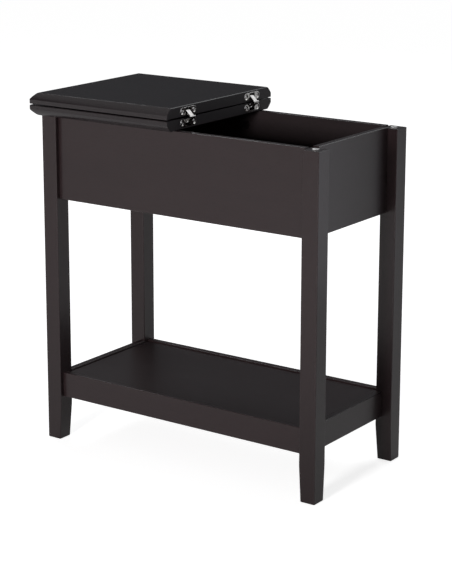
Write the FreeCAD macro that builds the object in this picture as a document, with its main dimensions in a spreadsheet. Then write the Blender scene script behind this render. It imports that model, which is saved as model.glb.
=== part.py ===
import FreeCAD, Part
import math
import os
import Sketcher

# A lift-top end table: four posts, a boxed compartment, a framed shelf, and a top in two leaves.
# The left leaf is fixed. The right leaf folds over onto it on two concealed link hinges.
# Frame: +X along the table towards the open end, -Y towards the long front, +Z up, floor at Z = 0.
# The origin is the middle of the floor space that the table covers with its leaf folded back.

V = FreeCAD.Vector
doc = FreeCAD.newDocument("lift_top_end_table")

# Driving dimensions, in millimetres and degrees.
SIZES = (
    ("frame_length", 570, "over the posts, left to right"),
    ("frame_depth", 276, "over the posts, front to rear"),
    ("leg_side", 31, "square section of a post"),
    ("leg_height", 590, "floor to the underside of the fixed leaf"),
    ("taper_height", 62, "foot length that tapers on the two inner faces"),
    ("taper_inset", 3.5, "taken off each inner face at the floor"),
    ("leg_easing", 1.2, "rounding of the posts' long edges"),
    ("foot_chamfer", 1, "chamfer round the sole of a foot"),
    ("board", 12, "thickness of panels and rails"),
    ("front_recess", 8, "posts stand proud of the long panels and rails by this"),
    ("edge_easing", 0.8, "rounding of panel and rail edges"),
    ("box_height", 147, "height of the compartment's panels"),
    ("floor_thickness", 12, "compartment floor"),
    ("floor_lift", 2, "compartment floor above the panels' lower edges"),
    ("rail_bottom", 80, "floor to the underside of the shelf rails"),
    ("rail_height", 45, "height of a shelf rail"),
    ("shelf_thickness", 12, "shelf panel"),
    ("shelf_drop", 3, "shelf panel below the rails' upper edges"),
    ("leaf_thickness", 19, "each leaf of the top"),
    ("leaf_overhang", 15, "leaf beyond the posts on three sides"),
    ("bevel_width", 11, "underside bevel, measured across the leaf"),
    ("bevel_height", 11.5, "underside bevel, measured up the edge"),
    ("bevel_bulge", 0.7, "how far the bevel is crowned"),
    ("leaf_easing", 1.5, "rounding of the leaf's upper edges and corners"),
    ("fold_gap", 1.7, "air between the leaves when folded"),
    ("closed_lift", 0.3, "flip leaf above the frame's top when closed"),
    ("seam_gap", 1, "air between the leaves when closed"),
    ("hinge_inset", 59, "each hinge from the leaf's long edge"),
    ("hinge_drop", 10, "hinge plate's centre from the fold axis"),
    ("plate_length", 46, "hinge plate"),
    ("plate_width", 13.4, "hinge plate"),
    ("plate_thickness", 3, "hinge plate"),
    ("plate_easing", 0.6, "rounding of the hinge plate's rim"),
    ("sink_diameter", 9.4, "countersink at the hinge plate's face"),
    ("screw_pitch", 34, "between a plate's two screws"),
    ("cup_length", 18, "hinge cup behind the plate"),
    ("cup_width", 12.2, "hinge cup behind the plate"),
    ("cup_corner", 1.2, "rounding of the hinge cup's corners"),
    ("cup_depth", 19, "hinge cup, from the plate's face"),
    ("slot_length", 15.8, "slot in the cup that takes the arms"),
    ("slot_width", 10.6, "slot in the cup that takes the arms"),
    ("slot_depth", 17.5, "slot in the cup that takes the arms"),
    ("mortise_play", 0.1, "clearance round a plate and cup in the leaf"),
    ("knuckle_reach", 7.2, "knuckle pin from the fold axis"),
    ("pin_diameter", 2.2, "knuckle pin"),
    ("pin_proud", 0.2, "knuckle pin beyond each cheek"),
    ("pin_play", 0.05, "radial running clearance on the pin"),
    ("eye_radius", 2.2, "arm round the pin"),
    ("arm_length", 15, "pin to the arm's tail centre"),
    ("arm_thickness", 3, "hinge arm"),
    ("tongue_width", 10, "arm of the flip leaf"),
    ("tongue_play", 0.3, "clearance on each side of that arm, between the other arm's cheeks"),
    ("cheek", 2, "each cheek of the fixed leaf's forked arm"),
    ("fork_bridge", 4.5, "solid end of the forked arm"),
    ("arm_rest_angle", 45, "arms from level while folded"),
    ("screw_head", 6.8, "hinge screw head diameter"),
    ("screw_crown", 0.35, "raised part of the screw head"),
    ("screw_shank", 3.5, "hinge screw"),
    ("screw_length", 20, "hinge screw under its head's rim"),
    ("recess_width", 0.9, "cross recess in the screw head"),
    ("recess_span", 4, "cross recess in the screw head"),
    ("recess_depth", 1.3, "cross recess in the screw head"),
    ("screw_play", 0.2, "radial clearance of a screw in its plate"),
    ("bumper_diameter", 12, "clear pad on each right post"),
    ("bumper_height", 2, "clear pad, and how much lower the right posts are"),
    ("bumper_easing", 1.1, "rounding of the pad's rim"),
    ("cam_diameter", 12, "cam lock"),
    ("cam_depth", 9, "cam lock"),
    ("cam_inset", 28, "cam lock's centre from the joint"),
    ("cam_slot_width", 1.4, "driver slot in the cam lock"),
    ("cam_slot_span", 8, "driver slot in the cam lock"),
    ("cam_slot_depth", 1.5, "driver slot in the cam lock"),
    ("cam_reach", 2, "half the cavity for the bolt's head in the cam lock"),
    ("cap_diameter", 14, "cover cap on a cam lock inside the compartment"),
    ("cap_height", 0.8, "cover cap"),
    ("bolt_neck", 4, "cam bolt"),
    ("bolt_head", 6, "cam bolt"),
    ("bolt_head_height", 2.4, "cam bolt"),
    ("bolt_thread", 5, "cam bolt"),
    ("bolt_grip", 8.5, "cam bolt's threaded length"),
    ("bolt_bore", 6.6, "passage for the bolt through the board"),
    ("dowel_diameter", 6, "wooden dowel"),
    ("dowel_length", 30, "wooden dowel"),
    ("fit_play", 0.05, "radial clearance of dowels, cams and bolts"),
    ("hole_spare", 0.5, "extra depth of a blind hole"),
    ("box_cam", 60, "cam height in a long panel"),
    ("box_dowel", 30, "dowels in a long panel from its lower and upper edges"),
    ("box_stagger", 14, "end panels' fittings nearer the middle than the long panels' ones"),
    ("rail_cam", 15, "cam height in a long rail"),
    ("rail_dowel", 30, "dowel height in a long rail"),
    ("rail_stagger", 7, "end rails' fittings above the long rails' ones"),
    ("deck_joint", 80, "floor and shelf fittings from the board's end"),
    ("deck_dowel", 170, "floor and shelf dowels from the board's end"),
    ("top_near", 29, "leaf's nearer cam bolt from the seam"),
    ("top_far", 39, "leaf's further cam bolt from the post"),
)
sheet = doc.addObject("Spreadsheet::Sheet", "sizes")
for row, (alias, size, note) in enumerate(SIZES, start=1):
    sheet.set(f"A{row}", str(size))
    sheet.setAlias(f"A{row}", alias)
    sheet.set(f"B{row}", note)
doc.recompute()

# Places and lengths worked out from the driving dimensions, as expressions of the sheet.
SEAM_X = "sizes.leaf_overhang / 2"
LEFT_X = "(sizes.leaf_overhang / 2 - sizes.frame_length / 2)"
RIGHT_X = "(sizes.leaf_overhang / 2 + sizes.frame_length / 2)"
FRONT_Y = "(-sizes.frame_depth / 2)"
REAR_Y = "(sizes.frame_depth / 2)"
LONG_SPAN = "(sizes.frame_length - 2 * sizes.leg_side)"
END_SPAN = "(sizes.frame_depth - 2 * sizes.leg_side)"
DECK_WIDTH = "(sizes.frame_depth - 2 * sizes.front_recess - 2 * sizes.board)"
BOX_BOTTOM = "(sizes.leg_height - sizes.box_height)"
LONG_LINE = "(sizes.front_recess + sizes.board / 2)"
END_LINE = "(sizes.leg_side - sizes.board / 2)"
MID_BOARD = "(sizes.board / 2)"
FLOOR_LEVEL = "(sizes.floor_lift + sizes.floor_thickness / 2)"
SHELF_LEVEL = "(sizes.rail_height - sizes.shelf_drop - sizes.shelf_thickness / 2)"
TOP_CAM = "(sizes.box_height - sizes.cam_inset)"
LEAF_LENGTH = "(sizes.frame_length / 2 + sizes.leaf_overhang - sizes.seam_gap / 2)"
LEAF_WIDTH = "(sizes.frame_depth + 2 * sizes.leaf_overhang)"
HINGE_Y = f"({LEAF_WIDTH} / 2 - sizes.hinge_inset)"
SCREW_DEPTH = "((sizes.sink_diameter - sizes.screw_head) / 2 - sizes.fit_play)"
FORK_GAP = "(sizes.tongue_width + 2 * sizes.tongue_play)"
FORK_WIDTH = f"({FORK_GAP} + 2 * sizes.cheek)"
LEAF_TOP = "(sizes.leg_height + sizes.leaf_thickness)"
FOLD_Z = "(sizes.leg_height + sizes.leaf_thickness + (sizes.fold_gap + sizes.closed_lift) / 2)"
FIXED_HINGE_LEVEL = f"({FOLD_Z} - sizes.leg_height - sizes.hinge_drop)"
FLIP_HINGE_LEVEL = f"({LEAF_TOP} + sizes.fold_gap + sizes.leaf_thickness - {FOLD_Z} - sizes.hinge_drop)"
DOWEL_HOLE = "(sizes.dowel_diameter + 2 * sizes.fit_play)"
THREAD_HOLE = "(sizes.bolt_thread + 2 * sizes.fit_play)"
CAM_HOLE = "(sizes.cam_diameter + 2 * sizes.fit_play)"
DOWEL_DEPTH = "(sizes.dowel_length / 2 + sizes.hole_spare)"
THREAD_DEPTH = "(sizes.bolt_grip + sizes.hole_spare)"
CAM_HOLE_DEPTH = "(sizes.cam_depth + sizes.hole_spare)"

X_AXIS = V(1, 0, 0)
Y_AXIS = V(0, 1, 0)
Z_AXIS = V(0, 0, 1)
nodes = []


def number(expression):
    return float(sheet.evalExpression(expression))


def place(item, x="0", y="0", z="0", turn=0, axis=Z_AXIS):
    """Put an object at expressions x, y and z, turned about an axis."""
    item.Placement = FreeCAD.Placement(V(0, 0, 0), FreeCAD.Rotation(axis, turn))
    for key, expression in zip("xyz", (x, y, z)):
        item.setExpression(f"Placement.Base.{key}", expression)
    return item


def new_body(label):
    body = doc.addObject("PartDesign::Body", label)
    body.Label = label
    return body


def keep(item, label):
    """Make an object one of the table's named pieces."""
    item.Label = label
    if item.Label != label:
        raise RuntimeError(f"{label}: the name is taken")
    nodes.append(item)
    return item


def sketch_on(body, name, role, offset="0"):
    """A sketch on one of the body's own origin planes, moved along the plane's normal."""
    sketch = body.newObject("Sketcher::SketchObject", name)
    plane = [item for item in body.Origin.OriginFeatures if item.Role == role][0]
    sketch.AttachmentSupport = [(plane, "")]
    sketch.MapMode = "FlatFace"
    sketch.setExpression("AttachmentOffset.Base.z", offset)
    return sketch


def dimension(sketch, kind, points, expression):
    """A driving dimension between two points, bound to an expression."""
    index = sketch.addConstraint(Sketcher.Constraint(kind, *points, number(expression)))
    sketch.setExpression(f"Constraints[{index}]", expression)


def locate(sketch, geometry, point, u, v):
    """Tie a point to the sketch's origin by two expressions, of either sign."""
    for kind, across, expression in (("DistanceX", -2, u), ("DistanceY", -1, v)):
        distance = number(expression)
        if abs(distance) < 1e-9:
            sketch.addConstraint(Sketcher.Constraint("PointOnObject", geometry, point, across))
        elif distance > 0:
            dimension(sketch, kind, (-1, 1, geometry, point), expression)
        else:
            dimension(sketch, kind, (geometry, point, -1, 1), f"-({expression})")


def outline(sketch, corners):
    """A closed outline of straight lines through corners given as expressions."""
    spots = [V(number(u), number(v), 0) for u, v in corners]
    first = sketch.GeometryCount
    count = len(corners)
    for index in range(count):
        sketch.addGeometry(Part.LineSegment(spots[index], spots[(index + 1) % count]))
    for index, (u, v) in enumerate(corners):
        following = first + (index + 1) % count
        sketch.addConstraint(Sketcher.Constraint("Coincident", first + index, 2, following, 1))
        locate(sketch, first + index, 1, u, v)


def rectangle(sketch, u0, v0, u1, v1):
    outline(sketch, ((u0, v0), (u1, v0), (u1, v1), (u0, v1)))


def circles(sketch, centres, diameter):
    """Round marks of one diameter."""
    for u, v in centres:
        spot = V(number(u), number(v), 0)
        index = sketch.addGeometry(Part.Circle(spot, Z_AXIS, number(diameter) / 2))
        locate(sketch, index, 3, u, v)
        dimension(sketch, "Diameter", (index,), diameter)


def rounded(sketch, u0, v0, u1, v1, radius):
    """A rectangle between two corners, its own four corners rounded."""
    bend = number(radius)
    quarter = math.pi / 2
    left, low, right, high = number(u0), number(v0), number(u1), number(v1)
    across = (f"{u0} + {radius}", f"{u1} - {radius}")
    up = (f"{v0} + {radius}", f"{v1} - {radius}")
    centres = ((across[0], up[0]), (across[1], up[0]), (across[1], up[1]), (across[0], up[1]))
    for index, (u, v) in enumerate(centres):
        circle = Part.Circle(V(number(u), number(v), 0), Z_AXIS, bend)
        sketch.addGeometry(Part.ArcOfCircle(circle, (index + 2) * quarter, (index + 3) * quarter))
    ends = (
        (V(left + bend, low, 0), V(right - bend, low, 0)),
        (V(right, low + bend, 0), V(right, high - bend, 0)),
        (V(right - bend, high, 0), V(left + bend, high, 0)),
        (V(left, high - bend, 0), V(left, low + bend, 0)),
    )
    for start, finish in ends:
        sketch.addGeometry(Part.LineSegment(start, finish))
    for index in range(4):
        sketch.addConstraint(Sketcher.Constraint("Tangent", index, 2, index + 4, 1))
        sketch.addConstraint(Sketcher.Constraint("Tangent", index + 4, 2, (index + 1) % 4, 1))
        if index:
            sketch.addConstraint(Sketcher.Constraint("Equal", 0, index))
    dimension(sketch, "Radius", (0,), radius)
    for index, (u, v) in enumerate(centres):
        locate(sketch, index, 3, u, v)


def rounded_block(sketch, u, v, length, width, radius):
    """A rounded rectangle about a centre."""
    half_long = f"({length}) / 2"
    half_wide = f"({width}) / 2"
    rounded(sketch, f"{u} - {half_long}", f"{v} - {half_wide}",
            f"{u} + {half_long}", f"{v} + {half_wide}", radius)


def obround(sketch, u, v, length, width):
    """A slot shape with round ends, its long side along the sketch's first axis, centred on u, v."""
    radius = f"(({width}) / 2)"
    reach = number(f"({length}) / 2 - {radius}")
    size = number(radius)
    centre = V(number(u), number(v), 0)
    ends = (centre - V(reach, 0, 0), centre + V(reach, 0, 0))
    up = V(0, size, 0)
    first = sketch.GeometryCount
    quarter = math.pi / 2
    circle = [Part.Circle(end, Z_AXIS, size) for end in ends]
    sketch.addGeometry(Part.ArcOfCircle(circle[0], quarter, 3 * quarter))
    sketch.addGeometry(Part.LineSegment(ends[0] - up, ends[1] - up))
    sketch.addGeometry(Part.ArcOfCircle(circle[1], -quarter, quarter))
    sketch.addGeometry(Part.LineSegment(ends[1] + up, ends[0] + up))
    for near, near_end, far, far_end in ((0, 2, 1, 1), (1, 2, 2, 1), (2, 2, 3, 1), (3, 2, 0, 1)):
        joint = Sketcher.Constraint("Tangent", first + near, near_end, first + far, far_end)
        sketch.addConstraint(joint)
    sketch.addConstraint(Sketcher.Constraint("Equal", first, first + 2))
    dimension(sketch, "Radius", (first,), radius)
    locate(sketch, first, 3, f"{u} - (({length}) / 2 - {radius})", v)
    locate(sketch, first + 2, 3, f"{u} + (({length}) / 2 - {radius})", v)


def pad(body, sketch, length, name="pad", both_ways=False):
    feature = body.newObject("PartDesign::Pad", name)
    feature.Profile = sketch
    feature.setExpression("Length", length)
    feature.Midplane = both_ways
    return feature


def cut(body, sketch, depth, name="cut", forward=False, both_ways=False):
    """A pocket. It goes against the sketch's normal, or with it when forward; depth None is through."""
    feature = body.newObject("PartDesign::Pocket", name)
    feature.Profile = sketch
    feature.Reversed = forward
    feature.Midplane = both_ways
    if depth is None:
        feature.Type = "ThroughAll"
    else:
        feature.setExpression("Length", depth)
    return feature


def drill(body, name, role, offset, centres, diameter, depth, forward=False):
    """Blind round holes of one size from one face."""
    if not centres:
        return
    marks = sketch_on(body, f"{name}_marks", role, offset)
    circles(marks, centres, diameter)
    cut(body, marks, depth, name, forward)


def dress(body, kind, size_name, size, wanted):
    """Fillet or chamfer every edge of the body's last shape that is wanted."""
    doc.recompute()
    tip = body.Tip
    picked = []
    for index, edge in enumerate(tip.Shape.Edges, start=1):
        if wanted(edge):
            picked.append(f"Edge{index}")
    feature = body.newObject(f"PartDesign::{kind}", kind.lower())
    feature.Base = (tip, picked)
    feature.setExpression(size_name, size)
    return feature


def runs_along(edge, axis):
    """True for a straight edge that keeps nearly to an axis."""
    if edge.Curve.TypeId != "Part::GeomLine":
        return False
    step = edge.Vertexes[-1].Point - edge.Vertexes[0].Point
    return abs(step.dot(axis)) > 0.95 * step.Length


def is_round(edge, radius, reach):
    """True for a circle or arc of a radius whose centre lies at a distance from Y = 0."""
    if edge.Curve.TypeId != "Part::GeomCircle":
        return False
    off_centre = abs(abs(edge.Curve.Center.y) - reach)
    return off_centre < 1e-6 and abs(edge.Curve.Radius - radius) < 1e-6


def at_level(edge, axis, level):
    """True for an edge that lies in the plane at a level along an axis."""
    return all(abs(vertex.Point.dot(axis) - level) < 1e-5 for vertex in edge.Vertexes)


# Heights of the fittings in a board's end, above the board's lower edge. The end boards' fittings
# stand between the long boards' ones, so that they pass each other inside a post.
def box_heights(is_end):
    shift = "sizes.box_stagger" if is_end else "0"
    low = f"sizes.box_dowel + {shift}"
    return [f"sizes.box_cam + {shift}"], [low, f"sizes.box_height - ({low})"]


def rail_heights(is_end):
    shift = "sizes.rail_stagger" if is_end else "0"
    return [f"sizes.rail_cam + {shift}"], [f"sizes.rail_dowel + {shift}"]


# Posts. Each is drawn with its outer corner at its own origin and its inner faces towards +X and +Y,
# then turned to its place, so the face that takes the long boards is +X or +Y by turns.
def drill_post_face(body, name, role, line, is_end):
    """Dowel and bolt holes for a box panel and a shelf rail in one inner face of a post."""
    offset = "sizes.leg_side" if role == "YZ_Plane" else "-sizes.leg_side"
    forward = role == "XZ_Plane"
    boards = ((BOX_BOTTOM, box_heights(is_end)), ("sizes.rail_bottom", rail_heights(is_end)))
    bolts = [(line, f"{base} + {height}") for base, heights in boards for height in heights[0]]
    dowels = [(line, f"{base} + {height}") for base, heights in boards for height in heights[1]]
    drill(body, f"{name}_bolts", role, offset, bolts, THREAD_HOLE, THREAD_DEPTH, forward)
    drill(body, f"{name}_dowels", role, offset, dowels, DOWEL_HOLE, DOWEL_DEPTH, forward)


def make_leg(label, x, y, turn, height):
    body = new_body(label)
    sole_side = "sizes.leg_side - sizes.taper_inset"
    sole = sketch_on(body, "sole", "XY_Plane")
    rounded(sole, "0", "0", sole_side, sole_side, "sizes.leg_easing")
    section = sketch_on(body, "section", "XY_Plane", "sizes.taper_height")
    rounded(section, "0", "0", "sizes.leg_side", "sizes.leg_side", "sizes.leg_easing")
    foot = body.newObject("PartDesign::AdditiveLoft", "foot")
    foot.Profile = sole
    foot.Sections = [section]
    foot.Ruled = True
    pad(body, section, f"{height} - sizes.taper_height", "post")
    dress(body, "Chamfer", "Size", "sizes.foot_chamfer", lambda edge: at_level(edge, Z_AXIS, 0))
    ends_on_x = turn in (90, 270)
    drill_post_face(body, "x_face", "YZ_Plane", END_LINE if ends_on_x else LONG_LINE, ends_on_x)
    drill_post_face(body, "y_face", "XZ_Plane", LONG_LINE if ends_on_x else END_LINE, not ends_on_x)
    place(body, x, y, "0", turn)
    keep(body, label)


RIGHT_POST = "(sizes.leg_height - sizes.bumper_height)"
make_leg("front_left_leg", LEFT_X, FRONT_Y, 0, "sizes.leg_height")
make_leg("front_right_leg", RIGHT_X, FRONT_Y, 90, RIGHT_POST)
make_leg("rear_right_leg", RIGHT_X, REAR_Y, 180, RIGHT_POST)
make_leg("rear_left_leg", LEFT_X, REAR_Y, 270, "sizes.leg_height")


# Fittings. One cam lock, cover cap, cam bolt, dowel, bumper and screw is modelled once, and each
# named group below repeats it where its joints are.
def revolved(label, corners):
    """A round piece about its own Z axis, from a half outline."""
    body = new_body(label)
    profile = sketch_on(body, "profile", "XZ_Plane")
    outline(profile, corners)
    turned = body.newObject("PartDesign::Revolution", "turned")
    turned.Profile = profile
    turned.ReferenceAxis = (profile, ["V_Axis"])
    turned.Angle = 360
    return body


def cross_cut(body, width, span, depth, level):
    """A driver's cross slot cut down from a level."""
    for name, across, along in (("slot_a", width, span), ("slot_b", span, width)):
        slot = sketch_on(body, name, "XY_Plane", level)
        rectangle(slot, f"-{across} / 2", f"-{along} / 2", f"{across} / 2", f"{along} / 2")
        cut(body, slot, depth, f"{name}_cut")


def make_cam_lock():
    """Top face at Z = 0, the bolt comes in from -X."""
    radius = "sizes.cam_diameter / 2"
    corners = (("0", "-sizes.cam_depth"), (radius, "-sizes.cam_depth"), (radius, "0"), ("0", "0"))
    body = revolved("cam_lock", corners)
    cross_cut(body, "sizes.cam_slot_width", "sizes.cam_slot_span", "sizes.cam_slot_depth", "0")
    level = f"-{MID_BOARD}"
    cavity = sketch_on(body, "cavity", "YZ_Plane", "sizes.cam_reach")
    circles(cavity, [("0", level)], "sizes.bolt_bore")
    cut(body, cavity, "2 * sizes.cam_reach", "cavity_cut")
    passage = sketch_on(body, "passage", "YZ_Plane")
    circles(passage, [("0", level)], "sizes.bolt_neck + sizes.bolt_bore - sizes.bolt_head")
    cut(body, passage, None, "passage_cut")
    return body


def make_cam_bolt():
    """Head's centre at the origin, the thread towards +Z."""
    head = "sizes.bolt_head / 2"
    neck = "sizes.bolt_neck / 2"
    thread = "sizes.bolt_thread / 2"
    low = "-sizes.bolt_head_height / 2"
    high = "sizes.bolt_head_height / 2"
    seat = "sizes.cam_inset"
    tip = "sizes.cam_inset + sizes.bolt_grip"
    corners = (("0", low), (head, low), (head, high), (neck, high), (neck, seat), (thread, seat))
    return revolved("cam_bolt", corners + ((thread, tip), ("0", tip)))


def make_disc(label, diameter, low, high):
    radius = f"{diameter} / 2"
    return revolved(label, (("0", low), (radius, low), (radius, high), ("0", high)))


def make_hinge_screw():
    """A raised countersunk screw, its head's rim at Z = 0, the shank towards -Z."""
    head = "sizes.screw_head / 2"
    shank = "sizes.screw_shank / 2"
    under = "-(sizes.screw_head - sizes.screw_shank) / 2"
    shoulder = "-sizes.screw_length + sizes.screw_shank"
    corners = (
        ("0", "sizes.screw_crown"),
        ("sizes.screw_head / 4", "sizes.screw_crown * 0.85"),
        ("sizes.screw_head * 0.4", "sizes.screw_crown * 0.5"),
        (head, "0"),
        (shank, under),
        (shank, shoulder),
        ("0", "-sizes.screw_length"),
    )
    body = revolved("hinge_screw", corners)
    crown = "sizes.screw_crown"
    cross_cut(body, "sizes.recess_width", "sizes.recess_span", "sizes.recess_depth", crown)
    return body


cam_lock = make_cam_lock()
cam_bolt = make_cam_bolt()
dowel = make_disc("dowel", "sizes.dowel_diameter", "-sizes.dowel_length / 2", "sizes.dowel_length / 2")
cover_cap = make_disc("cover_cap", "sizes.cap_diameter", "0", "sizes.cap_height")
bumper = make_disc("bumper", "sizes.bumper_diameter", "0", "sizes.bumper_height")
dress(bumper, "Fillet", "Radius", "sizes.bumper_easing",
      lambda edge: at_level(edge, Z_AXIS, number("sizes.bumper_height")))
hinge_screw = make_hinge_screw()


def aimed(z_axis, x_axis):
    """The turn that sends a fitting's Z and X axes to two given directions."""
    return FreeCAD.Rotation(x_axis, z_axis.cross(x_axis), z_axis, "ZXY")


def copy_of(master, x, y, z, rotation):
    copy = doc.addObject("App::Link", f"{master.Name}_copy")
    copy.LinkedObject = master
    copy.LinkTransform = False
    copy.Placement = FreeCAD.Placement(V(0, 0, 0), rotation)
    for key, expression in zip("xyz", (x, y, z)):
        copy.setExpression(f"Placement.Base.{key}", expression)
    return copy


def gathered(copies, name="fittings"):
    group = doc.addObject("Part::Compound", name)
    group.Links = copies
    return group


# Upright boards: box panels and shelf rails. Each is drawn lying along +X with its outer face at
# Y = 0 and its inner face at Y = board, then turned to its side of the table.
class Board:
    """One upright board, its cam locks, cam bolts, dowels and cover caps."""

    def __init__(self, label, side, span, height, base, joints):
        self.label = label
        self.side = side
        self.span = span
        self.height = height
        self.base = base
        self.cams, self.dowels = joints
        self.top_joints = []
        self.top_dowels = []
        self.deck_level = None

    def put(self, item):
        """Turn and move a board, or its fittings, to the board's side of the table."""
        inset = "sizes.leg_side"
        flush = "(sizes.leg_side - sizes.board)"
        spots = {
            "front": (f"{LEFT_X} + {inset}", f"{FRONT_Y} + sizes.front_recess", 0),
            "rear": (f"{RIGHT_X} - {inset}", f"{REAR_Y} - sizes.front_recess", 180),
            "right": (f"{RIGHT_X} - {flush}", f"{FRONT_Y} + {inset}", 90),
            "left": (f"{LEFT_X} + {flush}", f"{REAR_Y} - {inset}", 270),
        }
        x, y, turn = spots[self.side]
        return place(item, x, y, self.base, turn)

    def build(self):
        body = new_body(self.label)
        face = sketch_on(body, "face", "XZ_Plane")
        rectangle(face, "0", "0", self.span, self.height)
        pad(body, face, "sizes.board", "board").Reversed = True
        dress(body, "Fillet", "Radius", "sizes.edge_easing", lambda edge: runs_along(edge, X_AXIS))
        far = f"{self.span} - sizes.cam_inset"
        cam_marks = [(x, z) for z in self.cams for x in ("sizes.cam_inset", far)]
        cam_marks += [(x, TOP_CAM) for x in self.top_joints]
        drill(body, "cams", "XZ_Plane", "-sizes.board", cam_marks, CAM_HOLE, CAM_HOLE_DEPTH, True)
        bores = [(MID_BOARD, z) for z in self.cams]
        pins = [(MID_BOARD, z) for z in self.dowels]
        for name, offset, forward in (("near", "0", True), ("far", self.span, False)):
            drill(body, f"{name}_bores", "YZ_Plane", offset, bores,
                  "sizes.bolt_bore", "sizes.cam_inset", forward)
            drill(body, f"{name}_dowels", "YZ_Plane", offset, pins, DOWEL_HOLE, DOWEL_DEPTH, forward)
        drill(body, "upper_bores", "XY_Plane", self.height, [(x, MID_BOARD) for x in self.top_joints],
              "sizes.bolt_bore", "sizes.cam_inset")
        drill(body, "upper_pegs", "XY_Plane", self.height, [(x, MID_BOARD) for x in self.top_dowels],
              DOWEL_HOLE, DOWEL_DEPTH)
        if self.deck_level:
            inner = "-sizes.board"
            bolts = [(x, self.deck_level) for x in both_ends("sizes.deck_joint", self.span)]
            drill(body, "deck_bolts", "XZ_Plane", inner, bolts, THREAD_HOLE, THREAD_DEPTH, True)
            pegs = [(x, self.deck_level) for x in both_ends("sizes.deck_dowel", self.span)]
            drill(body, "deck_dowels", "XZ_Plane", inner, pegs, DOWEL_HOLE, PEG_DEPTH, True)
        self.put(body)
        keep(body, self.label)

    def end_fittings(self):
        """Cam locks, bolts, dowels and cap places of the board's two ends, in the board's frame."""
        locks, bolts, pegs = [], [], []
        ends = (("sizes.cam_inset", "0", -X_AXIS), (f"{self.span} - sizes.cam_inset", self.span, X_AXIS))
        for cam_x, end_x, outward in ends:
            for z in self.cams:
                locks.append(copy_of(cam_lock, cam_x, "sizes.board", z, aimed(Y_AXIS, -outward)))
                bolts.append(copy_of(cam_bolt, cam_x, MID_BOARD, z, aimed(outward, Y_AXIS)))
            for z in self.dowels:
                pegs.append(copy_of(dowel, end_x, MID_BOARD, z, aimed(outward, Y_AXIS)))
        return locks, bolts, pegs

    def top_fittings(self):
        """Cam locks, bolts and dowels that hold the fixed leaf down, in the board's frame."""
        locks, bolts, pegs = [], [], []
        for x in self.top_joints:
            locks.append(copy_of(cam_lock, x, "sizes.board", TOP_CAM, aimed(Y_AXIS, -Z_AXIS)))
            bolts.append(copy_of(cam_bolt, x, MID_BOARD, TOP_CAM, aimed(Z_AXIS, Y_AXIS)))
        for x in self.top_dowels:
            pegs.append(copy_of(dowel, x, MID_BOARD, self.height, aimed(Z_AXIS, Y_AXIS)))
        return locks, bolts, pegs

    def caps(self):
        """Cover caps on every cam lock in the board's inner face."""
        far = f"{self.span} - sizes.cam_inset"
        marks = [(x, z) for z in self.cams for x in ("sizes.cam_inset", far)]
        marks += [(x, TOP_CAM) for x in self.top_joints]
        return [copy_of(cover_cap, x, "sizes.board", z, aimed(Y_AXIS, X_AXIS)) for x, z in marks]


def both_ends(distance, span):
    return (distance, f"{span} - {distance}")


PEG_REACH = "(sizes.board - sizes.board / 3)"
PEG_DEPTH = f"({PEG_REACH} + sizes.hole_spare)"
panels = []
rails = []
for side in ("front", "rear", "left", "right"):
    is_end = side in ("left", "right")
    span = END_SPAN if is_end else LONG_SPAN
    kind = "end_panel" if is_end else "panel"
    panels.append(Board(f"{side}_{kind}", side, span, "sizes.box_height", BOX_BOTTOM, box_heights(is_end)))
    rails.append(Board(f"shelf_{side}_rail", side, span, "sizes.rail_height", "sizes.rail_bottom",
                       rail_heights(is_end)))

# The fixed leaf is held on the long panels' left half, which runs from X = 0 on the front panel and
# to X = span on the rear panel, because that one is turned round.
front_joints = (f"{LONG_SPAN} / 2 - sizes.top_near", "sizes.top_far")
rear_joints = (f"{LONG_SPAN} / 2 + sizes.top_near", f"{LONG_SPAN} - sizes.top_far")
for board, (near, far) in zip(panels, (front_joints, rear_joints)):
    board.top_joints = [near, far]
    board.top_dowels = [f"({near} + {far}) / 2"]
    board.deck_level = FLOOR_LEVEL
for board in rails[:2]:
    board.deck_level = SHELF_LEVEL
for board in panels + rails:
    board.build()


# Decks: the compartment floor and the shelf, between the long boards.
def deck_marks(width, distance, inset):
    spots = []
    for x in both_ends(distance, LONG_SPAN):
        for y in both_ends(inset, width):
            spots.append((x, y))
    return spots


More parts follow.
